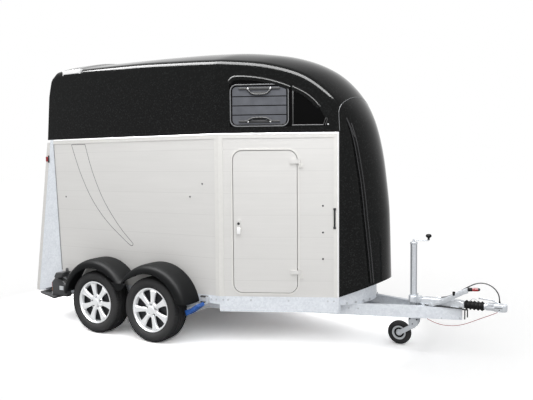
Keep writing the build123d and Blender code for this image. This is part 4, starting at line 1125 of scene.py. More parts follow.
class TRAILER_OT_windows(bpy.types.Operator):
    """Makes the window frames, slatted shutters, catches and their fields"""

    bl_idname = "trailer.windows"
    bl_label = "Windows"

    def execute(self, context):
        depth = context.scene.trailer_shell.recess / MM
        self.fields(depth)
        self.frames(depth)
        self.shutters()
        self.catches()
        self.edges()
        return {"FINISHED"}

    def fields(self, depth):
        """Smooth sunk field round each window, with its opening."""
        bm = bmesh.new()
        verts = prism(bm, [(along(x), z, -depth - 1.5) for x, z in RECESS], (0, 0, 2.5))
        centre = Vector((sum(v.co.x for v in verts), sum(v.co.y for v in verts), 0)) / len(verts)
        for vert in verts:
            away = vert.co - centre
            away.z = 0
            vert.co -= away.normalized() * 2.0
        fields = as_object("window_fields", put_on(bm, TAPER_WALL))
        carve(fields, as_object("hole", put_on(window_hole(), TAPER_WALL)))
        dress(fields, "gloss_black")

    def frames(self, depth):
        bm = bmesh.new()
        frame_ring(bm, WINDOW_LOW, WINDOW_HIGH, WINDOW_CORNER_R, 20.0, -depth, 5.0)
        soften(bm, list(bm.verts), 5.0, 3, angle=40)
        make("window_rims", put_on(bm, TAPER_WALL), "gloss_black", nodes=["window_frames"])
        # Thin pale ring round each frame's outer edge, its grey a painted highlight of the frame's rounded
        # edge
        bm = bmesh.new()
        frame_ring(bm, WINDOW_LOW, WINDOW_HIGH, WINDOW_CORNER_R, 9.0, 1.0, 7.0)
        soften(bm, list(bm.verts), 1.8, 2, angle=40)
        make("window_highlight_rings", put_on(bm, TAPER_WALL), "pale_highlight_grey")

    def shutters(self):
        low = [c + SHUTTER_INSET for c in WINDOW_LOW]
        high = [c - SHUTTER_INSET for c in WINDOW_HIGH]
        bm = bmesh.new()
        rounded(bm, low, high, WINDOW_CORNER_R - SHUTTER_INSET, 9.0)
        bmesh.ops.translate(bm, verts=bm.verts, vec=(0, 0, -9))
        shutter = as_object("window_shutter_plates", put_on(bm, TAPER_WALL))
        cut = bmesh.new()
        # Black strips at the floor of each groove: painted shade in the grooves
        strips = bmesh.new()
        for z in GROOVE_ZS:
            block(cut, (low[0] - 5, z - 4.5, -7), (high[0] + 5, z + 4.5, 10))
            block(strips, (low[0] + 1, z - 4.2, -7), (high[0] - 1, z + 4.2, -5.5))
        carve(shutter, as_object("grooves", put_on(cut, TAPER_WALL)))
        dress(shutter, "grey_abs", nodes=["window_shutters"])
        make("window_groove_shade", put_on(strips, TAPER_WALL), "soft_rubber")

    def catches(self):
        """Slotted bars with a bail handle at the top and the foot of each shutter."""
        middle = (WINDOW_LOW[0] + WINDOW_HIGH[0]) / 2
        bm = bmesh.new()
        screws = bmesh.new()
        for z, reach in ((WINDOW_TOP_Z - 40, -52), (WINDOW_BOTTOM_Z + 46, 34)):
            block(bm, (middle - 183, z - 10, 0), (middle - 105, z + 10, 9), 3)
            block(bm, (middle + 105, z - 10, 0), (middle + 183, z + 10, 9), 3)
            block(bm, (middle - 105, z - 13, 0), (middle + 105, z + 13, 7), 3)
            bail = [
                (middle - 112, z, 8),
                (middle - 84, z + reach * 0.55, 10),
                (middle - 58, z + reach, 11),
                (middle + 58, z + reach, 11),
                (middle + 84, z + reach * 0.55, 10),
                (middle + 112, z, 8),
            ]
            wire(bm, bail, 8.0)
            pad = z + reach * 0.75
            block(bm, (middle - 56, pad - 10, 0), (middle + 56, pad + 10, 5), 3)
            for x in (middle - 100, middle + 100):
                rod(screws, (x, z, 6), (x, z, 13.5), 9.5, 7.5, 16, 1.5)
        make("window_catches", put_on(bm, TAPER_WALL), "textured_polypropylene")
        make("window_screws", put_on(screws, TAPER_WALL), "satin_stainless")

    def edges(self):
        """Rolled edge over each field, and the stay and hook ahead of the window."""
        bm = bmesh.new()
        for run in FIELD_EDGES:
            wire(bm, [(along(x), z, -15.0) for x, z in run], 27.0, sides=5)
        make("window_field_edges", put_on(bm, TAPER_WALL), "black_gelcoat")
        bm = bmesh.new()
        stay_z = 1996.0
        wire(bm, [(along(1596), stay_z, 3), (along(1850), stay_z, 3)], 6.5, smooth=False)
        block(bm, (along(1598), WINDOW_BOTTOM_Z + 4, -8), (along(1608), WINDOW_TOP_Z - 20, 2), 1)
        hook = [(1846, 1996, 4), (1856, 2022, 8), (1864, 2056, 8)]
        hook += [(1880, 2054, 8), (1872, 2016, 8), (1862, 1992, 6)]
        wire(bm, [(along(x), z, out) for x, z, out in hook], 4.0)
        make("window_stays", put_on(bm, TAPER_WALL), "textured_polypropylene")
        bm = bmesh.new()
        rod(bm, (along(1884), 2002, 0), (along(1884), 2002, 9), 7, 5.5, 16, 1)
        make("window_studs", put_on(bm, TAPER_WALL), "satin_stainless")


# Walls, with a rounded bead along their tops and front corners
BEAD_R = 7.0
BEAD_Z = HOOD_BOTTOM_Z - 9


class TRAILER_OT_walls(bpy.types.Operator):
    """Draws the outline on the sides and fits screws, corner strips, beads and seals"""

    bl_idname = "trailer.walls"
    bl_label = "Wall trim"

    def execute(self, context):
        width = context.scene.trailer_walls.stripe_width / MM / 2
        bm = bmesh.new()
        for line in (
            [(-839, 1874), (-763, 1669), (-681, 1503), (-590, 1344), (-474, 1198), (-349, 1075), (-190, 956)]
            + [(-80, 878), (-50, 862), (-30, 866), (-24, 882), (-40, 899), (-166, 1009), (-299, 1160)]
            + [(-411, 1313), (-501, 1479), (-590, 1689), (-645, 1874)],
            [(-839, 1874), (-742, 1874), (-645, 1874)],
        ):
            wire(bm, [(x, z, 0) for x, z in line], width, sides=1)
        bmesh.ops.scale(bm, verts=bm.verts, vec=(1, 1, 0.35))
        make("side_outlines", put_on(bm, SIDE_WALL), "outline_vinyl")

        bm = bmesh.new()
        for x, z in ((813, 1481), (674, 1361), (-937, 1331)):
            rod(bm, (x, z, 0), (x, z, 3), 9, 7, 16, 1)
            rod(bm, (x, z, 0), (x, z, 5), 4, 3.4, 12, 1)
        bm.transform(SIDE_WALL)
        front = bmesh.new()
        for z in (1284, 1047, 810):
            rod(front, (along(1842), z, 0), (along(1842), z, 3), 9, 7, 16, 1)
        front.transform(TAPER_WALL)
        merge(bm, front)
        both_sides(bm)
        make("wall_screws", bm, "phosphated_steel")

        bm = bmesh.new()
        low, high = (along(1928), 1078, 4), (along(1944), 1264, 9)
        block(bm, low, high, 2)
        for z in (1078, 1244):
            block(bm, (low[0] - 3, z, 4), (high[0] + 3, z + 20, 12), 3)
        make("corner_strips", put_on(bm, TAPER_WALL), "textured_polypropylene")

        # Rounded edge of the corner profiles, in pale stainless: a painted highlight along the brightest
        # line of the wall
        bm = bmesh.new()
        corner = along(POST_X - 3)
        rod(bm, (corner, WALL_BOTTOM_Z, 3), (corner, HOOD_BOTTOM_Z, 3), BEAD_R, sides=20)
        rod(bm, (0, BEAD_Z, 1), (corner, BEAD_Z, 1), BEAD_R, sides=20)
        bm.transform(TAPER_WALL)
        side = bmesh.new()
        rod(side, (-1098, BEAD_Z, 1), (KINK_X, BEAD_Z, 1), BEAD_R, sides=20)
        side.transform(SIDE_WALL)
        merge(bm, side)
        both_sides(bm)
        make("corner_beads_painted_highlight", bm, "satin_stainless")

        # Rubber seal down the wall's rear edge, where the fin begins
        bm = bmesh.new()
        wire(bm, [(-1101, WALL_TOP_Z - 4, 2), (-1022, 550, 2)], 5.0, smooth=False)
        make("fin_seals", put_on(bm, SIDE_WALL), "grey_vinyl")
        return {"FINISHED"}


# Doors, with the lock and the handle near the edge away from the hinges
LOCK_ALONG = along(1111.0) + 48


class TRAILER_OT_doors(bpy.types.Operator):
    """Fits the side doors' locks and handles"""

    bl_idname = "trailer.doors"
    bl_label = "Side doors"

    def execute(self, context):
        for side in SIDES:
            for name, finish, slot, shape in (
                ("door_handle", "satin_stainless", "aluminium_trim", handle_shape),
                ("door_lock", "textured_polypropylene", "black_plastic", lock_shape),
            ):
                bm = shape()
                bm.transform(TAPER_WALL)
                if side == "left":
                    mirror_over(bm)
                make(f"{name}_{side}", bm, finish, f"side_door_{side}")
        return {"FINISHED"}


def handle_shape():
    bm = bmesh.new()
    x = LOCK_ALONG
    block(bm, (x - 15, 1030, 16), (x + 15, 1090, 21), 4)
    block(bm, (x - 11, 1036, 20), (x + 11, 1082, 27), 4)
    return bm


def lock_shape():
    bm = bmesh.new()
    x = LOCK_ALONG
    rod(bm, (x, 1126, 16), (x, 1126, 23), 13, 11, 24, 2)
    block(bm, (x - 3, 1117, 22), (x + 3, 1135, 25), 1)
    return bm


# Mudguards. Columns: distance from the middle of the trailer, radius about the axle, and how far
# the rolled edge hangs lower over the wheels than where the two guards meet
GUARD_SECTION = [
    (850.0, 430.0, 0.0),
    (900.0, 431.0, 0.0),
    (960.0, 431.0, 0.0),
    (1010.0, 429.0, 0.0),
    (1046.0, 423.0, 0.0),
    (1070.0, 415.0, 0.0),
    (1086.0, 405.0, 3.0),
    (1094.0, 397.0, 10.0),
    (1099.0, 391.0, 20.0),
    (1100.0, 388.0, 34.0),
    (1098.0, 387.0, 44.0),
]
GUARD_FRONT_Z = 395.0
GUARD_REAR_Z = 366.0
GUARD_STEPS = 36
# Share of each guard over which its rolled edge runs out where the two meet
GUARD_MEETING = 0.3


class TRAILER_OT_mudguards(bpy.types.Operator):
    """Makes the double mudguards, each a thin skin with a rolled outer lip"""

    bl_idname = "trailer.mudguards"
    bl_label = "Mudguards"

    def execute(self, context):
        bm = bmesh.new()
        for axle, foot_z in ((1, GUARD_FRONT_Z), (-1, GUARD_REAR_Z)):
            made = bmesh.ops.create_grid(
                bm, x_segments=GUARD_STEPS, y_segments=len(GUARD_SECTION) - 1, size=0.5
            )["verts"]
            for vert in made:
                step = vert.co.x + 0.5
                y, meeting, drop = GUARD_SECTION[round((vert.co.y + 0.5) * (len(GUARD_SECTION) - 1))]
                rise = max((step - 1 + GUARD_MEETING) / GUARD_MEETING, 0.0)
                radius = meeting - drop * (1 - rise**2 * (3 - 2 * rise))
                foot = acos((foot_z - TYRE_R) / radius)
                meet = -asin(AXLE_HALF_SPACING / meeting)
                angle = foot + (meet - foot) * step
                vert.co = (
                    axle * (AXLE_HALF_SPACING + radius * sin(angle)),
                    -y,
                    TYRE_R + radius * cos(angle),
                )
        bmesh.ops.remove_doubles(bm, verts=bm.verts, dist=WELD)
        face_out(bm)
        right = bm.copy()
        mirror_over(bm)
        merge(bm, right)
        guards = as_object("mudguard_skins", bm, recalculate=False)
        skin = guards.modifiers.new("skin", "SOLIDIFY")
        skin.thickness = context.scene.trailer_mudguards.skin
        skin.offset = -1.0
        smooth = guards.modifiers.new("smooth", "SUBSURF")
        smooth.levels = 1
        smooth.render_levels = 1
        bake(guards)
        dress(guards, "mudguard_plastic", nodes=["mudguards"], angle=50)

        # Rounded tongue in which each pair of guards ends between the wheels
        bm = bmesh.new()
        tongue = [(-88, 536), (-62, 500), (-40, 477), (-20, 464), (18, 464), (40, 477), (64, 500), (92, 536)]
        slab(bm, [(x, -1093, z) for x, z in tongue], (0, -5, 0), 1.5, 1)
        both_sides(bm)
        make("mudguard_tongues", bm, "mudguard_plastic")
        return {"FINISHED"}


# Wheels, drawn about their own axle with the outside towards -Y
TYRE_MID_Y = 970.0
RIM_FACE_Y = 1057.0
# Columns: distance in from the tyre's middle towards the outside, radius
TREAD_HALF = [
    (0.0, 307.5),
    (12.0, 307.5),
    (14.0, 301.0),
    (21.0, 301.0),
    (23.0, 307.0),
    (44.0, 306.3),
    (46.0, 300.5),
    (53.0, 300.0),
    (55.0, 305.5),
    (72.0, 303.0),
    (86.0, 297.5),
    (91.0, 290.0),
    (95.0, 278.0),
    (97.5, 258.0),
    (95.5, 238.0),
    (91.0, 224.0),
    (86.5, 217.0),
    (84.0, 212.0),
    (80.0, 205.0),
    (70.0, 192.0),
]
# Columns: distance out from the rim's face, radius
RIM_PROFILE = [
    (0.0, 208.0),
    (1.5, 205.0),
    (0.5, 199.0),
    (-6.0, 194.5),
    (-14.0, 191.0),
    (-34.0, 186.0),
    (-80.0, 183.0),
    (-150.0, 181.0),
    (-166.0, 190.0),
    (-172.0, 200.0),
    (-176.0, 200.0),
    (-172.0, 188.0),
    (-150.0, 187.0),
    (-60.0, 189.8),
    (-12.0, 189.8),
    (-7.0, 200.0),
    (-6.0, 207.0),
]
SPOKE_START = {"front": 80.0, "rear": 98.0}
# Half of a spoke's outline. Columns: radius, half width
SPOKE_HALF = [(52.0, 19.0), (80.0, 20.0), (110.0, 22.0), (142.0, 25.5), (168.0, 31.0), (187.0, 41.0)]
NUT_CIRCLE_R = 56.0


def tyre_shape(settings):
    """Tyre with four grooves round it and cross grooves in its shoulders."""
    bm = bmesh.new()
    profile = [(y, r) for y, r in TREAD_HALF] + [(-y, r) for y, r in reversed(TREAD_HALF[1:])]
    steps = settings.grooves * 3
    lathe(bm, profile, (0, 0, 0), (0, -1, 0), steps)
    bmesh.ops.remove_doubles(bm, verts=bm.verts, dist=WELD)
    bmesh.ops.recalc_face_normals(bm, faces=bm.faces)
    pitch = 2 * pi / steps
    chosen = []
    for face in bm.faces:
        centre = face.calc_center_median()
        if 60 < abs(centre.y) < 90 and hypot(centre.x, centre.z) > 292:
            turn = int((atan2(centre.z, centre.x) + pi) / pitch)
            if turn % 3 == 0:
                chosen.append(face)
    grown = bmesh.ops.extrude_face_region(bm, geom=chosen)["geom"]
    for item in grown:
        if isinstance(item, bmesh.types.BMVert):
            radius = hypot(item.co.x, item.co.z)
            item.co.x *= (radius - 5.0) / radius
            item.co.z *= (radius - 5.0) / radius
    bmesh.ops.delete(bm, geom=chosen, context="FACES_ONLY")
    return bm


def rim_shape(settings, start):
    """Rim with its well, broad spokes and the hub they meet in."""
    bm = bmesh.new()
    face = TYRE_MID_Y - RIM_FACE_Y
    lathe(bm, [(a - face, r) for a, r in RIM_PROFILE], (0, 0, 0), (0, -1, 0), 96)
    spoke = bmesh.new()
    right = [(r, w) for r, w in SPOKE_HALF]
    outline = [(r, -w) for r, w in right] + [(r, w) for r, w in reversed(right)]
    verts = prism(spoke, [(x, face + 4, z) for x, z in outline], (0, 26, 0))
    for vert in verts:
        # The spokes' faces dish towards the hub
        vert.co.y += 15.0 * (1 - min(vert.co.x / 180, 1.0)) ** 1.2
    bmesh.ops.recalc_face_normals(spoke, faces=spoke.faces)
    soften(spoke, verts, 7.0, 3, angle=50)
    step = 360 / settings.spokes
    turns = [Matrix.Rotation(-radians(start + k * step), 4, "Y") for k in range(settings.spokes)]
    copies(spoke, turns)
    merge(bm, spoke)
    hub = bmesh.new()
    profile = [(40, 0), (40, 72), (22, 74), (15, 70), (13, 60), (13, 0)]
    lathe(hub, [(-(face + a), r) for a, r in profile], (0, 0, 0), (0, -1, 0), 64, closed=False)
    holes = bmesh.new()
    for x, z in nut_places(settings):
        rod(holes, (x, face - 4, z), (x, face + 34, z), 15.5, sides=24)
    merge(bm, cut_from(hub, holes))
    return bm


def nut_places(settings):
    turns = [2 * pi * k / settings.nuts + pi / 2 for k in range(settings.nuts)]
    return [(NUT_CIRCLE_R * cos(turn), NUT_CIRCLE_R * sin(turn)) for turn in turns]


def nuts_and_painted_shade(settings):
    """Nuts at the bottom of their holes with a black disc under each, and a black sheet behind the spokes
    with a sleeve in the rim's barrel: painted shade in the holes, behind the spokes and in the barrel.
    """
    bm = bmesh.new()
    face = TYRE_MID_Y - RIM_FACE_Y
    painted_shade_sheet = [(58, 78), (62, 78), (62, 176), (140, 174), (140, 179), (40, 182.5), (40, 178), (58, 176)]
    lathe(bm, [(-(face + a), r) for a, r in painted_shade_sheet], (0, 0, 0), (0, -1, 0), 64)
    for x, z in nut_places(settings):
        rod(bm, (x, face + 36, z), (x, face + 22, z), 9.5, sides=6, width=1.5)
        # Black disc that fills the bottom of each hole: painted shade
        rod(bm, (x, face + 36, z), (x, face + 31, z), 15.3, sides=24)
    return bm


def cap_shape():
    bm = bmesh.new()
    face = TYRE_MID_Y - RIM_FACE_Y
    profile = [(14, 0.0), (14, 30), (11, 33.5), (8, 34), (6.5, 31), (5.5, 24), (5, 0)]
    lathe(bm, [(-(face + a), r) for a, r in profile], (0, 0, 0), (0, -1, 0), 48, closed=False)
    return bm


class TRAILER_OT_wheels(bpy.types.Operator):
    """Makes the four wheels: treaded tyres on spoked alloy rims"""

    bl_idname = "trailer.wheels"
    bl_label = "Wheels"

    def execute(self, context):
        settings = context.scene.trailer_wheels
        for end in ENDS:
            axle_x = AXLE_HALF_SPACING if end == "front" else -AXLE_HALF_SPACING
            rim = rim_shape(settings, SPOKE_START[end])
            bmesh.ops.recalc_face_normals(rim, faces=rim.faces)
            parts = {
                "tyre": (tyre_shape(settings), "tyre_rubber", "tyre_rubber"),
                "rim": (rim, "lacquered_alloy", "alloy_rim"),
                "nuts": (nuts_and_painted_shade(settings), "powder_coated_steel", "zinc_steel"),
                "cap": (cap_shape(), "lacquered_alloy", "alloy_rim"),
            }
            for part, (bm, finish, slot) in parts.items():
                for side in SIDES:
                    shape = bm.copy()
                    place_wheel(shape, axle_x, side)
                    nodes = [f"{part}_{end}_{side}"] if part in ("tyre", "rim") else []
                    name = f"wheel_{part}_{end}_{side}"
                    piece = as_object(name, shape, recalculate=part != "rim")
                    dress(piece, finish, f"wheel_{end}_{side}", nodes)
                bm.free()
        return {"FINISHED"}


def place_wheel(bm, axle_x, side):
    bmesh.ops.translate(bm, verts=bm.verts, vec=(axle_x, -TYRE_MID_Y, TYRE_R))
    if side == "left":
        mirror_over(bm)


# Rear end: the ramp leans forward over its foot
RAMP_LEAN = radians(8.15)
RAMP_FOOT = Vector((-1432.0, 0, 300.0))
RAMP_FRAME = Matrix.Translation(RAMP_FOOT) @ Matrix(
    ((0, -1, 0), (sin(RAMP_LEAN), 0, cos(RAMP_LEAN)), (-cos(RAMP_LEAN), 0, sin(RAMP_LEAN)))
).transposed().to_4x4()
RAMP_HALF_W = 846.0
RAMP_LENGTH = 1605.0 / cos(RAMP_LEAN)
# The curtain: X and Z of its foot, how far it runs forward and up, how much its top rises in the
# middle, and how thick the cloth is
CURTAIN_FOOT = (-1169.0, 1917.0)
CURTAIN_RUN = (85.0, 653.0)
CURTAIN_CROWN = 130.0
CURTAIN_THICKNESS = 1.4


class TRAILER_OT_rear(bpy.types.Operator):
    """Makes the ramp's edge profiles, latches and handles, the curtain, lamps and reflectors"""

    bl_idname = "trailer.rear"
    bl_label = "Rear end"

    def execute(self, context):
        bm = bmesh.new()
        rim = 46.0
        foot = 34.0
        for low, high in (
            ((-RAMP_HALF_W, foot), (-RAMP_HALF_W + rim, RAMP_LENGTH)),
            ((RAMP_HALF_W - rim, foot), (RAMP_HALF_W, RAMP_LENGTH)),
            ((-RAMP_HALF_W + rim, foot), (RAMP_HALF_W - rim, foot + rim)),
            ((-RAMP_HALF_W + rim, RAMP_LENGTH - rim), (RAMP_HALF_W - rim, RAMP_LENGTH)),
        ):
            block(bm, (*low, -2), (*high, 4), 2)
        bm.transform(RAMP_FRAME)
        make("ramp_edges", bm, "anodised_profile", "ramp")

        bm = bmesh.new()
        for x in (-620, 620):
            grab = [(x - 90, 1240, 3), (x - 90, 1240, 30), (x - 70, 1240, 42), (x + 70, 1240, 42)]
            grab += [(x + 90, 1240, 30), (x + 90, 1240, 3)]
            wire(bm, grab, 8.0)
        for x in (-800, 800):
            block(bm, (x - 16, 1420, 4), (x + 16, 1560, 12), 3)
            wire(bm, [(x, 1430, 12), (x, 1440, 26), (x, 1500, 30), (x, 1545, 16)], 7.0)
        bm.transform(RAMP_FRAME)
        make("ramp_handles", bm, "zinc_plated_steel", "ramp")

        self.curtain()
        self.lamps()
        return {"FINISHED"}

    def curtain(self):
        """Rolled-down curtain between the hood's rear edges, drawn tight with shallow folds."""
        low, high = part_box("rear_curtain")
        half = (high[1] - low[1]) / MM / 2 - 2
        foot_x, foot_z = CURTAIN_FOOT
        lean = atan2(*CURTAIN_RUN)
        height = hypot(*CURTAIN_RUN)
        bm = bmesh.new()
        across, rows = 60, 24
        made = bmesh.ops.create_grid(bm, x_segments=across, y_segments=rows, size=0.5)["verts"]
        for vert in made:
            y = vert.co.x * 2 * half
            t = vert.co.y + 0.5
            top = height + CURTAIN_CROWN * (1 - (y / half) ** 2)
            up = t * top
            fold = 2.2 * sin(y / 55.0) * sin(pi * min(t * 1.1, 1.0))
            vert.co = (foot_x + up * sin(lean) + fold, y, foot_z + up * cos(lean))
        piece = as_object("rear_curtain_cloth", bm)
        cloth = piece.modifiers.new("cloth", "SOLIDIFY")
        cloth.thickness = CURTAIN_THICKNESS * MM
        cloth.offset = 0.0
        bake(piece)
        dress(piece, "woven_fabric", nodes=["rear_curtain"], angle=60)

    def lamps(self):
        """Lamp housings at the rear corners with their lenses, and the outline lamps above."""
        bm = bmesh.new()
        body = [(-1086, 286), (-860, 286), (-868, 340), (-890, 410), (-930, 456), (-985, 474)]
        body += [(-1040, 474), (-1086, 430)]
        verts = prism(bm, [(x, -874, z) for x, z in body], (0, -66, 0))
        roof = [(-1012, 494), (-1000, 478), (-905, 492), (-862, 552), (-985, 540)]
        verts += prism(bm, [(x, -872, z) for x, z in roof], (0, -104, 0))
        bmesh.ops.recalc_face_normals(bm, faces=bm.faces)
        soften(bm, verts, 9.0, 3)
        web = [(-905, 492), (-862, 552), (-842, 372), (-890, 420)]
        web = prism(bm, [(x, -900, z) for x, z in web], (0, -10, 0))
        soften(bm, web, 2.0, 1)
        rod(bm, (-868, -925, 540), (-868, -925, 590), 17, 14, 20, 5)
        both_sides(bm)
        make("lamp_housings", bm, "grey_polypropylene", nodes=["rear_lamps"])
        bm = bmesh.new()
        block(bm, (-970, -944, 352), (-912, -938, 394), 2)
        both_sides(bm)
        make("lamp_reflectors", bm, "grey_polyamide")
        lenses = (("red_lens", 375, 425), ("amber_lens", 330, 370), ("white_lens", 296, 325))
        for name, low_z, high_z in lenses:
            bm = bmesh.new()
            block(bm, (-1094, -934, low_z), (-1084, -880, high_z), 3)
            both_sides(bm)
            make(f"rear_{name}", bm, name)
        bm = bmesh.new()
        bases = bmesh.new()
        block(bm, (-1214, -868, 1703), (-1180, -853, 1757), 6, 3)
        block(bases, (-1186, -864, 1692), (-1174, -849, 1768), 4)
        both_sides(bm)
        both_sides(bases)
        make("outline_lamps", bm, "red_lens")
        make("outline_lamp_bases", bases, "textured_polypropylene")


# Chassis
# The apron under the nose is an arc round this place
APRON_CENTRE_X = 1601.0
APRON_R = 554.0
# Height of the bolts along the sills
BOLT_Z = 432.0


class TRAILER_OT_chassis(bpy.types.Operator):
    """Adds the frame's bolts, the bumper tray, the chocks and the marker lamps"""

    bl_idname = "trailer.chassis"
    bl_label = "Chassis"

    def execute(self, context):
        bolts = bmesh.new()
        for x in (1020, 1060, 1250, 1560, 1880, 1930):
            hexagon(bolts, TAPER_WALL, (along(x), BOLT_Z, 0), 6.0)
        for x in (-960, -700, 900, 955):
            hexagon(bolts, SIDE_WALL, (x, BOLT_Z, 0), 6.0)
        rail = rail_frame()
        for x, up in ((2788, 293), (2935, 300), (2090, 345), (2010, 345)):
            hexagon(bolts, rail, (x / cos(DRAWBAR), up, 0), 5.0)
        # Bolts along the curved apron under the nose, each on a radius of its arc
        for turn in (10, 20, 30, 40):
            out = Vector((cos(radians(turn)), -sin(radians(turn)), 0))
            place = Vector((APRON_CENTRE_X, 0, 408)) + out * APRON_R
            rod(bolts, place - out * 2, place + out * 2, 11, sides=16)
            rod(bolts, place, place + out * 7, 7.5, sides=6, width=0.8)
        both_sides(bolts)
        make("frame_bolts", bolts, "zinc_plated_steel")

        bm = bmesh.new()
        tray = [(-1368, 854), (-1368, -854), (-1008, -985), (-1008, 985)]
        slab(bm, [(x, y, 262) for x, y in tray], (0, 0, 22), 4.0)
        make("bumper_tray", bm, "grey_polypropylene", nodes=["bumper"])

        bm = bmesh.new()
        chock = [(700, 330), (722, 282), (852, 376), (836, 404), (760, 352)]
        slab(bm, [(x, -885, z) for x, z in chock], (0, -110, 0), 5.0)
        both_sides(bm)
        make("chocks", bm, "blue_polyethylene", nodes=["wheel_chocks"])

        bm = bmesh.new()
        rounded(bm, (794, 404), (850, 440), 12.0, 30.0)
        soften(bm, list(bm.verts), 4.0, 2, angle=60)
        make("marker_lenses", put_on(bm, SIDE_WALL), "white_lens", nodes=["marker_lamps"])
        bm = bmesh.new()
        for z in (390, 444):
            block(bm, (788, z, 0), (868, z + 9, 24), 4)
        block(bm, (786, 388, 0), (870, 455, 8), 3)
        make("marker_bases", put_on(bm, SIDE_WALL), "textured_polypropylene")
        return {"FINISHED"}


def hexagon(bm, wall, place, radius):
    """Bolt head with its washer on a wall."""
    x, z, out = place
    part = bmesh.new()
    rod(part, (x, z, out), (x, z, out + 1.5), radius * 1.5, sides=20)
    rod(part, (x, z, out + 1.5), (x, z, out + 6.5), radius, sides=6, width=0.8)
    part.transform(wall)
    merge(bm, part)


def rail_frame():
    """Frame of the right drawbar rail's outer face, its X counted along the rail."""
    direction = Vector((cos(DRAWBAR), sin(DRAWBAR), 0))
    out = direction.cross(UP)
    turn = Matrix((direction, UP, out)).transposed().to_4x4()
    apex = Vector((RAIL_APEX_X, 0, 0)) - direction * RAIL_APEX_X / cos(DRAWBAR)
    return Matrix.Translation(apex) @ turn


# Hitch, with its line of pull and the middle and radius of the ball cup
HITCH_Z = 425.0
BALL_X = 3262.0
BALL_R = 25.5
# Routes of the cables. Columns: X, Y, Z of each point
CABLE_D = 10.0
CABLE_ROUTE = [
    (2735.0, 38.0, 454.0),
    (2800.0, 42.0, 462.0),
    (2870.0, 44.0, 495.0),
    (2935.0, 42.0, 534.0),
    (3000.0, 36.0, 578.0),
    (3070.0, 28.0, 616.0),
    (3140.0, 22.0, 622.0),
    (3200.0, 22.0, 597.0),
    (3240.0, 32.0, 548.0),
    (3252.0, 50.0, 496.0),
    (3250.0, 64.0, 448.0),
]
BREAKAWAY_D = 5.0
BREAKAWAY_ROUTE = [
    (2668.0, -74.0, 281.0),
    (2718.0, -86.0, 262.0),
    (2782.0, -92.0, 248.0),
    (2850.0, -94.0, 244.0),
    (2920.0, -90.0, 252.0),
    (2990.0, -82.0, 272.0),
    (3060.0, -72.0, 304.0),
    (3130.0, -62.0, 338.0),
    (3200.0, -54.0, 370.0),
    (3262.0, -46.0, 402.0),
]


def cable(name, route, diameter, finish, node):
    """Smooth cable through a route's points, in the trailer's own frame."""
    curve = bpy.data.curves.new(name, "CURVE")
    curve.dimensions = "3D"
    curve.bevel_depth = diameter / 2 * MM
    curve.bevel_resolution = 4
    curve.use_fill_caps = True
    curve.resolution_u = 12
    spline = curve.splines.new("NURBS")
    spline.points.add(len(route) - 1)
    for point, place in zip(spline.points, route):
        point.co = (*(ROW @ Vector(place)), 1.0)
    spline.order_u = 3
    spline.use_endpoint_u = True
    curve.materials.append(finish_of(finish))
    piece = bpy.data.objects.new(name, curve)
    bpy.context.scene.collection.objects.link(piece)
    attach(piece, "root")
    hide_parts(node)
    return piece


class TRAILER_OT_cables(bpy.types.Operator):
    """Lays the electric cable with its plug and the breakaway cable"""

    bl_idname = "trailer.cables"
    bl_label = "Cables"

    def execute(self, context):
        plug = self.plug()
        gland = bmesh.new()
        start, towards = vectors(CABLE_ROUTE[:2])
        run = (towards - start).normalized()
        rod(gland, start - run * 6, start + run * 26, 9.5, 6.0, 24, 1.5)
        rod(gland, start - run * 8, start + run * 4, 12.0, sides=6, width=1.5)
        gland = make("cable_gland", gland, "grey_polyamide")
        lead = cable(
            "electric_lead", CABLE_ROUTE, CABLE_D, "pvc_sheath", "electric_cable"
        )
        line = cable(
            "breakaway_line",
            BREAKAWAY_ROUTE,
            BREAKAWAY_D,
            "red_sheath",
            "breakaway_cable",
        )
        self.clip()
        return {"FINISHED"}

    def clip(self):
        """Ring and hook that hold the breakaway cable's end to the coupling head."""
        before, end = vectors(BREAKAWAY_ROUTE[-2:])
        run = (end - before).normalized()
        bm = bmesh.new()
        rod(bm, end - run * 14, end + run * 2, 3.6, sides=16, width=0.6)
        ring = [end + run * (8 + 8 * cos(k * pi / 6)) + UP * 8 * sin(k * pi / 6) for k in range(12)]
        wire(bm, ring, 1.6, cyclic=True)
        return make("breakaway_clip", bm, "zinc_plated_steel")

    def plug(self):
        """Round plug with a ribbed collar, a cap and its boot round the cable."""
        before, end = vectors(CABLE_ROUTE[-2:])
        run = (end - before).normalized()
        profile = [(-22, 6), (-4, 9), (0, 13), (6, 18), (14, 18), (16, 20), (24, 20), (26, 18.5), (44, 18.5)]
        profile += [(46, 20), (60, 20), (62, 18), (62, 0)]
        bm = bmesh.new()
        lathe(bm, [(a, r) for a, r in profile] + [(-22, 0)], end, run, 32)
        return make("cable_plug_body", bm, "soft_rubber", nodes=["cable_plug"])


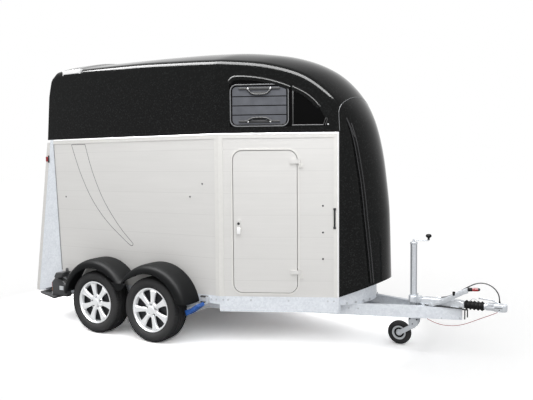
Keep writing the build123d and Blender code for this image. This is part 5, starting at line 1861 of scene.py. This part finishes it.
class TRAILER_OT_hitch(bpy.types.Operator):
    """Makes the overrun housing, bellows, coupling head, handle and handbrake"""

    bl_idname = "trailer.hitch"
    bl_label = "Hitch"

    def execute(self, context):
        self.housing()
        self.coupling()
        self.handbrake()
        return {"FINISHED"}

    def housing(self):
        bm = bmesh.new()
        # Cast housing. Columns: X, Z
        side = [(2600, 391), (2975, 391), (2975, 448), (2930, 458), (2640, 458), (2600, 448)]
        slab(bm, [(x, -40, z) for x, z in side], (0, 80, 0), 8.0, 3)
        for x in (2650, 2900):
            block(bm, (x - 35, -52, 391), (x + 35, 52, 405), 3)
        rod(bm, (2975, 0, HITCH_Z), (3150, 0, HITCH_Z), 25, sides=40)
        rod(bm, (2700, -52, 415), (2700, 52, 415), 11, sides=24, width=1.5)
        make("overrun_body", bm, "zinc_plated_steel", nodes=["overrun_housing"])

        bm = bmesh.new()
        for y in (-30, 30):
            for x in (2640, 2660, 2885, 2905):
                rod(bm, (x, y * 1.45, 404), (x, y * 1.45, 412), 7.5, sides=6, width=1)
        make("overrun_bolts", bm, "zinc_plated_steel")

        # Black strip between the housing and the rails: a painted shadow under the housing
        bm = bmesh.new()
        block(bm, (2640, -54, 391), (2962, 54, 403), 2)
        make("overrun_shadow_strip", bm, "powder_coated_steel")

        # Bracket with two legs that hangs from the housing's front end
        bm = bmesh.new()
        block(bm, (2958, -36, 381), (3008, -20, 391), 2)
        block(bm, (2976, -34, 300), (2986, -22, 385), 3)
        block(bm, (2998, -34, 320), (3008, -22, 385), 3)
        make("drawbar_bracket", bm, "powder_coated_steel")

        bm = bmesh.new()
        folds = 5
        first, last = 2975.0, 3136.0
        pitch = (last - first) / folds
        # One fold. Columns: share of its length, radius
        fold = [(0.0, 31.5), (0.18, 33.0), (0.42, 41.0), (0.5, 41.8), (0.58, 41.0), (0.82, 33.0)]
        profile = [(first + (k + share) * pitch, r) for k in range(folds) for share, r in fold]
        profile += [(last, 31.5), (last, 25.5), (first, 25.5)]
        lathe(bm, profile, (0, 0, HITCH_Z), X_AXIS, 48)
        make("bellows_sleeve", bm, "soft_rubber", nodes=["bellows"])

    def coupling(self):
        bm = bmesh.new()
        # Head seen from above. Columns: distance ahead of the ball, half width
        widths = [(-52.0, 28.0), (-10.0, 38.0), (30.0, 38.0), (59.0, 18.0)]
        right = [(BALL_X + x, -w, 395) for x, w in widths]
        left = [(x, -y, z) for x, y, z in reversed(right)]
        slab(bm, right + left, (0, 0, 64), 11.0, 4, 20)
        rod(bm, (3150, 0, HITCH_Z), (3222, 0, HITCH_Z), 31, sides=40, width=3)
        block(bm, (3165, -34, 440), (3215, 34, 457), 4)
        piece = as_object("coupling_body", bm)
        cup = bmesh.new()
        ball = bmesh.ops.create_uvsphere(cup, u_segments=32, v_segments=16, radius=BALL_R)["verts"]
        bmesh.ops.translate(cup, verts=ball, vec=(BALL_X, 0, HITCH_Z))
        rod(cup, (BALL_X, 0, 380), (BALL_X, 0, HITCH_Z), BALL_R, sides=32)
        carve(piece, as_object("cup", cup))
        dress(piece, "zinc_plated_steel", nodes=["coupling_head"])

        # Black strips on the head for its slots, painted shade where they are let in, and its pins
        bm = bmesh.new()
        for y in (-39, 39):
            block(bm, (3222, y - 1.5, 428), (3288, y + 1.5, 433), 0.8)
            rod(bm, (BALL_X, y - 2, 414), (BALL_X, y + 2, 414), 5.5, sides=16)
        block(bm, (3150, -33, 437), (3168, 33, 441), 1)
        make("coupling_slot_shade_and_pins", bm, "powder_coated_steel")

        # Front ring of the head and the wire clip over the bellows
        bm = bmesh.new()
        ring = [(3300 + 15 * cos(k * pi / 6), -8, 446 + 15 * sin(k * pi / 6)) for k in range(12)]
        wire(bm, ring, 3.0, cyclic=True)
        clip = [(3022, -20, 456), (3028, -20, 480), (3054, -20, 488), (3080, -20, 480), (3086, -20, 456)]
        wire(bm, clip, 2.5)
        make("hitch_rings", bm, "zinc_plated_steel")

        # Release handle over the head: two cheeks and their pins
        bm = bmesh.new()
        cheek = [(3232, 459), (3258, 459), (3214, 490), (3092, 499), (3088, 487), (3198, 479)]
        for y in (-9, 5):
            slab(bm, [(x, y, z) for x, z in cheek], (0, 4, 0), 1.2, 1)
        rod(bm, (3095, -9, 492), (3095, 9, 492), 6, sides=16, width=1)
        rod(bm, (3205, -9, 484), (3205, 9, 484), 5, sides=16, width=1)
        make("coupling_release", bm, "zinc_plated_steel", nodes=["coupling_handle"])

    def handbrake(self):
        bm = bmesh.new()
        outline = [(2672, 394), (2715, 394), (2786, 420), (2880, 468), (2972, 520), (3012, 538), (3014, 582)]
        outline += [(2996, 580), (2944, 556), (2860, 504), (2775, 460), (2712, 420)]
        slab(bm, [(x, -52.5, z) for x, z in outline], (0, -11, 0), 2.5)
        for x, z in ((2700, 404), (2760, 430), (2800, 452)):
            rod(bm, (x, -62, z), (x, -69, z), 8, sides=6, width=1)
        # Ribs pressed across the lever
        for x in (2850, 2874, 2898, 2922, 2946, 2970):
            z = 483 + (x - 2850) * 0.56
            block(bm, (x - 3, -66.5, z - 14), (x + 3, -62, z + 14), 1.2)
        make("brake_lever", bm, "zinc_plated_steel", nodes=["handbrake_lever"])
        bm = bmesh.new()
        rod(bm, (2893, -58, 505), (2893, -58, 540), 11, 13, 20, 4)
        make("brake_knob", bm, "soft_rubber")
        start = Vector((3010, -58, 570))
        run = Vector((1, 0, 0.08)).normalized()
        bm = bmesh.new()
        profile = [(0, 0), (0, 15), (6, 17), (34, 15), (40, 14), (40, 0)]
        lathe(bm, profile, start, run, 24)
        lathe(bm, [(86, 0), (86, 13.5), (94, 12), (100, 7), (100, 0)], start, run, 24)
        make("brake_grip_sleeve", bm, "soft_rubber", nodes=["handbrake_grip"])
        bm = bmesh.new()
        profile = [(36, 0), (36, 14.4), (60, 15.2), (80, 14.5), (88, 12.5), (88, 0)]
        lathe(bm, profile, start, run, 24)
        make("brake_grip_cap", bm, "red_polypropylene")


# Jockey wheel: its post, how far the wheel trails behind it, the wheel's radius, and where the
# crank's arm ends
JOCKEY_X = 2526.0
JOCKEY_TRAIL = 126.0
JOCKEY_R = 107.5
CRANK_X = 2658.0


class TRAILER_OT_jockey(bpy.types.Operator):
    """Makes the jockey wheel: clamp, post, crank, fork and wheel"""

    bl_idname = "trailer.jockey"
    bl_label = "Jockey wheel"

    def execute(self, context):
        post = Vector((JOCKEY_X, 0, 0))
        bm = bmesh.new()
        profile = [(300, 26), (300, 30), (930, 30), (930, 33), (944, 33), (947, 30)]
        profile += [(947, 10), (931, 10), (931, 26)]
        lathe(bm, profile, post, UP, 40)
        make("jockey_tube", bm, "zinc_plated_steel", nodes=["jockey_post"])
        # Dark rods down the tube's outer side: painted shade of its scale grooves
        bm = bmesh.new()
        for turn in (-20, -114):
            groove = post + Vector((cos(radians(turn)), sin(radians(turn)), 0)) * 27.5
            rod(bm, groove + UP * 470, groove + UP * 925, 3.6, sides=10)
        make("jockey_groove_shade", bm, "phosphated_steel")

        bm = bmesh.new()
        rod(bm, post + UP * 941, post + UP * 973, 10, sides=24, width=1)
        arm = [(JOCKEY_X, 966), (2600, 966), (CRANK_X - 14, 966), (CRANK_X, 972), (CRANK_X, 990)]
        wire(bm, [(x, 0, z) for x, z in arm], 7.0)
        make("jockey_crank_arm", bm, "zinc_plated_steel", nodes=["jockey_crank"])
        bm = bmesh.new()
        profile = [(970, 9), (990, 10), (996, 20), (1003, 25), (1014, 25), (1021, 20), (1024, 12)]
        lathe(bm, profile + [(1024, 0), (970, 0)], (CRANK_X, 0, 0), UP, 32)
        make("jockey_crank_knob", bm, "soft_rubber")

        bm = bmesh.new()
        profile = [(400, 30.4), (400, 40), (404, 43), (458, 43), (462, 40), (462, 30.4)]
        lathe(bm, profile, post, UP, 40)
        block(bm, (2560, -30, 402), (2600, 30, 460), 4)
        wire(bm, [(2576, -30, 448), (2576, -58, 452), (2576, -66, 470), (2584, -66, 500)], 6.0)
        block(bm, (JOCKEY_X - 18, -62, 410), (JOCKEY_X + 18, -40, 452), 4)
        make("jockey_clamp_body", bm, "zinc_plated_steel", nodes=["jockey_clamp"])

        self.fork(post)
        self.wheel()
        return {"FINISHED"}

    def fork(self, post):
        """Swivel bracket with its two arms down to the axle."""
        bm = bmesh.new()
        bolts = bmesh.new()
        wheel_x = JOCKEY_X - JOCKEY_TRAIL
        rod(bm, post + UP * 262, post + UP * 362, 25.9, sides=32)
        profile = [(228, 0), (228, 38), (232, 41), (256, 41), (262, 36), (262, 0)]
        lathe(bm, profile, post, UP, 32)
        for y in (-41.0, 35.0):
            # Cheek of the bracket, then the arm
            cheek = [(-36, 250), (-28, 262), (44, 262), (54, 246), (50, 214)]
            cheek += [(28, 176), (4, 162), (-30, 176)]
            verts = prism(bm, [(JOCKEY_X + x, y, z) for x, z in cheek], (0, 6, 0))
            soften(bm, verts, 1.5, 1)
            side = -1 if y < 0 else 1
            arm_y = y + 3 + side * 2
            outline = [(JOCKEY_X + 16, 172), (JOCKEY_X - 14, 200), (wheel_x - 15, 124)]
            outline += [(wheel_x - 19, 102), (wheel_x - 4, 86), (wheel_x + 16, 92)]
            verts = prism(bm, [(x, arm_y - 4, z) for x, z in outline], (0, 8, 0))
            soften(bm, verts, 3.0, 2)
            for x in (JOCKEY_X - 22, JOCKEY_X + 42):
                rod(bolts, (x, y + 3, 252), (x, y + 3 + side * 7, 252), 8, sides=6, width=1)
            x = JOCKEY_X + 2
            rod(bolts, (x, y + 3, 208), (x, y + 3 + side * 3.4, 208), 6, sides=16)
        rod(bm, (wheel_x, -46, JOCKEY_R), (wheel_x, 46, JOCKEY_R), 8, sides=20, width=1)
        for y in (-50, 42):
            rod(bm, (wheel_x, y, JOCKEY_R), (wheel_x, y + 8, JOCKEY_R), 13, sides=6, width=1.5)
        make("jockey_fork_body", bm, "zinc_plated_steel", "jockey_caster", ["jockey_fork"])
        make("jockey_fork_bolts", bolts, "powder_coated_steel", "jockey_caster")

    def wheel(self):
        centre = (JOCKEY_X - JOCKEY_TRAIL, 0, JOCKEY_R)
        bm = bmesh.new()
        profile = [(-30, 72), (-29, 90), (-22, 102), (-10, JOCKEY_R), (10, JOCKEY_R), (22, 102)]
        profile += [(29, 90), (30, 72), (26, 64.3), (-26, 64.3)]
        lathe(bm, profile, centre, (0, 1, 0), 64)
        make("jockey_wheel_tyre", bm, "tyre_rubber", "jockey_wheel", ["jockey_tyre"])
        bm = bmesh.new()
        half = [(0, 8.2), (30, 8.2), (30, 20), (20, 24), (14, 30), (14, 46)]
        half += [(24, 52), (25, 62), (22, 64), (0, 64)]
        profile = half + [(-a, r) for a, r in reversed(half)]
        lathe(bm, profile, centre, (0, 1, 0), 48)
        make("jockey_wheel_rim", bm, "grey_polyamide", "jockey_wheel", ["jockey_rim"])
        # Black rings at the floor of the rim's grooves on both faces: painted shade in them
        bm = bmesh.new()
        for side in (-1, 1):
            ring = [(side * 13, 31), (side * 16, 31), (side * 16, 45), (side * 13, 45)]
            lathe(bm, ring, centre, (0, 1, 0), 48)
        make("jockey_wheel_groove_shade", bm, "soft_rubber", "jockey_wheel")


# Stage, in metres
CAMERA_PLACE = (3.0092, -5.2929, 1.6385)
CAMERA_YAW = radians(29.085)
CAMERA_PITCH = radians(3.272)
CAMERA_ROLL = radians(-0.410)
# Strength of the white world as a light; the camera sees it at 1
WORLD_LIGHT = 0.95
# Brightness of the floor as the camera sees it, away from the trailer and in its shadow, and the
# middle and radii of the shadow in metres
FLOOR_SEEN = 1.07
SHADE_SEEN = 2.9
SHADE_CENTRE = (-0.9, -0.1, 0.0)
SHADE_RADII = (2.0, 1.9, 1.0)
# Shares of the radii between which the one passes into the other
SHADE_EDGE = (0.7, 1.3)
# Lamps in metres and watts. The shine lamp is the studio's long softbox, seen only in gloss.
# Columns: name, kind, place, aimed at, size, power
LAMPS = [
    ("long_softbox", "shine", (0.5, -2.7, 5.9), (0.5, -2.7, 0.0), (11.0, 2.8), 5200.0),
    ("front_box", "light", (5.5, -6.0, 4.5), (0.8, 0.0, 1.0), (3.0, 3.0), 45.0),
]


class TRAILER_OT_stage(bpy.types.Operator):
    """Sets the camera, the floor, the lamps and the white surroundings"""

    bl_idname = "trailer.stage"
    bl_label = "Stage"

    def execute(self, context):
        settings = context.scene.trailer_stage
        self.camera(context, settings)
        self.floor(context, settings)
        self.world(context)
        self.lamps(context)
        context.scene.view_settings.view_transform = "Standard"
        return {"FINISHED"}

    def camera(self, context, settings):
        right = Vector((cos(CAMERA_YAW), sin(CAMERA_YAW), 0))
        ahead = Vector((-sin(CAMERA_YAW), cos(CAMERA_YAW), 0))
        look = ahead * cos(CAMERA_PITCH) - UP * sin(CAMERA_PITCH)
        top = UP * cos(CAMERA_PITCH) + ahead * sin(CAMERA_PITCH)
        side = right * cos(CAMERA_ROLL) + top * sin(CAMERA_ROLL)
        top = top * cos(CAMERA_ROLL) - right * sin(CAMERA_ROLL)
        data = bpy.data.cameras.new("camera")
        data.lens = settings.lens
        data.sensor_width = 36.0
        data.sensor_fit = "HORIZONTAL"
        camera = bpy.data.objects.new("camera", data)
        turn = Matrix((side, top, -look)).transposed().to_4x4()
        camera.matrix_world = Matrix.Translation(CAMERA_PLACE) @ turn
        context.scene.collection.objects.link(camera)
        context.scene.camera = camera

    def floor(self, context, settings):
        mesh = bpy.data.meshes.new("floor")
        bm = bmesh.new()
        bmesh.ops.create_grid(bm, x_segments=1, y_segments=1, size=60.0)
        bm.to_mesh(mesh)
        bm.free()
        piece = bpy.data.objects.new("floor", mesh)
        context.scene.collection.objects.link(piece)
        # Matt white studio floor, which the camera sees brighter than it is lit in the shadow
        material = bpy.data.materials.new("studio_floor")
        material.use_nodes = True
        tree = material.node_tree
        tree.nodes.remove(tree.nodes["Principled BSDF"])
        seen = add_node(tree, "ShaderNodeLightPath").outputs["Is Camera Ray"]
        place = add_node(tree, "ShaderNodeTexCoord").outputs["Object"]
        spread = add_node(
            tree,
            "ShaderNodeMapping",
            {"Vector": place, "Location": SHADE_CENTRE, "Scale": SHADE_RADII},
            vector_type="TEXTURE",
        )
        away = add_node(
            tree, "ShaderNodeVectorMath", {0: spread.outputs["Vector"]}, operation="LENGTH"
        ).outputs["Value"]
        lift = add_node(
            tree,
            "ShaderNodeMapRange",
            {
                "Value": away,
                "From Min": SHADE_EDGE[0],
                "From Max": SHADE_EDGE[1],
                "To Min": SHADE_SEEN,
                "To Max": FLOOR_SEEN,
            },
        )
        shade = add_node(
            tree,
            "ShaderNodeMix",
            {"Factor": seen, 6: rgba(settings.floor), 7: lift.outputs["Result"]},
            data_type="RGBA",
        )
        matt = add_node(tree, "ShaderNodeBsdfDiffuse", {"Color": shade.outputs[2]})
        tree.links.new(matt.outputs[0], tree.nodes["Material Output"].inputs["Surface"])
        mesh.materials.append(material)

    def world(self, context):
        world = bpy.data.worlds.new("studio")
        context.scene.world = world
        world.use_nodes = True
        tree = world.node_tree
        path = add_node(tree, "ShaderNodeLightPath")
        seen = path.outputs["Is Camera Ray"]
        for kind in ("Is Glossy Ray", "Is Transmission Ray"):
            seen = add_node(
                tree, "ShaderNodeMath", {0: seen, 1: path.outputs[kind]}, operation="MAXIMUM"
            ).outputs[0]
        strength = add_node(
            tree, "ShaderNodeMapRange", {"Value": seen, "To Min": WORLD_LIGHT, "To Max": 1.0}
        )
        tree.links.new(strength.outputs["Result"], tree.nodes["Background"].inputs["Strength"])
        tree.nodes["Background"].inputs["Color"].default_value = (1, 1, 1, 1)

    def lamps(self, context):
        for name, kind, place, target, size, power in LAMPS:
            data = bpy.data.lights.new(name, "AREA")
            data.shape = "RECTANGLE"
            data.size, data.size_y = size
            data.energy = power
            lamp = bpy.data.objects.new(name, data)
            aim = Vector(target) - Vector(place)
            turn = aim.to_track_quat("-Z", "Y").to_matrix().to_4x4()
            lamp.matrix_world = Matrix.Translation(place) @ turn
            lamp.visible_diffuse = kind == "light"
            lamp.visible_glossy = kind == "shine"
            context.scene.collection.objects.link(lamp)


SETTINGS = {
    "trailer_shell": ShellSettings,
    "trailer_walls": WallSettings,
    "trailer_wheels": WheelSettings,
    "trailer_mudguards": MudguardSettings,
    "trailer_stage": StageSettings,
}
OPERATORS = [
    TRAILER_OT_stage,
    TRAILER_OT_cables,
    TRAILER_OT_finishes,
    TRAILER_OT_shell,
    TRAILER_OT_windows,
    TRAILER_OT_walls,
    TRAILER_OT_doors,
    TRAILER_OT_mudguards,
    TRAILER_OT_wheels,
    TRAILER_OT_rear,
    TRAILER_OT_chassis,
    TRAILER_OT_hitch,
    TRAILER_OT_jockey,
]


class TRAILER_PT_panel(bpy.types.Panel):
    """Sizes and colours of the trailer with a button for each of its pieces"""

    bl_idname = "TRAILER_PT_panel"
    bl_label = "Horse trailer"
    bl_space_type = "VIEW_3D"
    bl_region_type = "UI"
    bl_category = "Trailer"

    def draw(self, context):
        for name, group in SETTINGS.items():
            box = self.layout.box()
            for key in group.__annotations__:
                box.prop(getattr(context.scene, name), key)
        for operator in OPERATORS:
            self.layout.operator(operator.bl_idname)


def register():
    for name, group in SETTINGS.items():
        bpy.utils.register_class(group)
        setattr(bpy.types.Scene, name, bpy.props.PointerProperty(type=group))
    for operator in OPERATORS:
        bpy.utils.register_class(operator)
    bpy.utils.register_class(TRAILER_PT_panel)


def unregister():
    bpy.utils.unregister_class(TRAILER_PT_panel)
    for operator in reversed(OPERATORS):
        bpy.utils.unregister_class(operator)
    for name, group in reversed(SETTINGS.items()):
        delattr(bpy.types.Scene, name)
        bpy.utils.unregister_class(group)


def main():
    register()
    for operator in OPERATORS:
        group, name = operator.bl_idname.split(".")
        getattr(getattr(bpy.ops, group), name)()


if __name__ == "__main__":
    main()
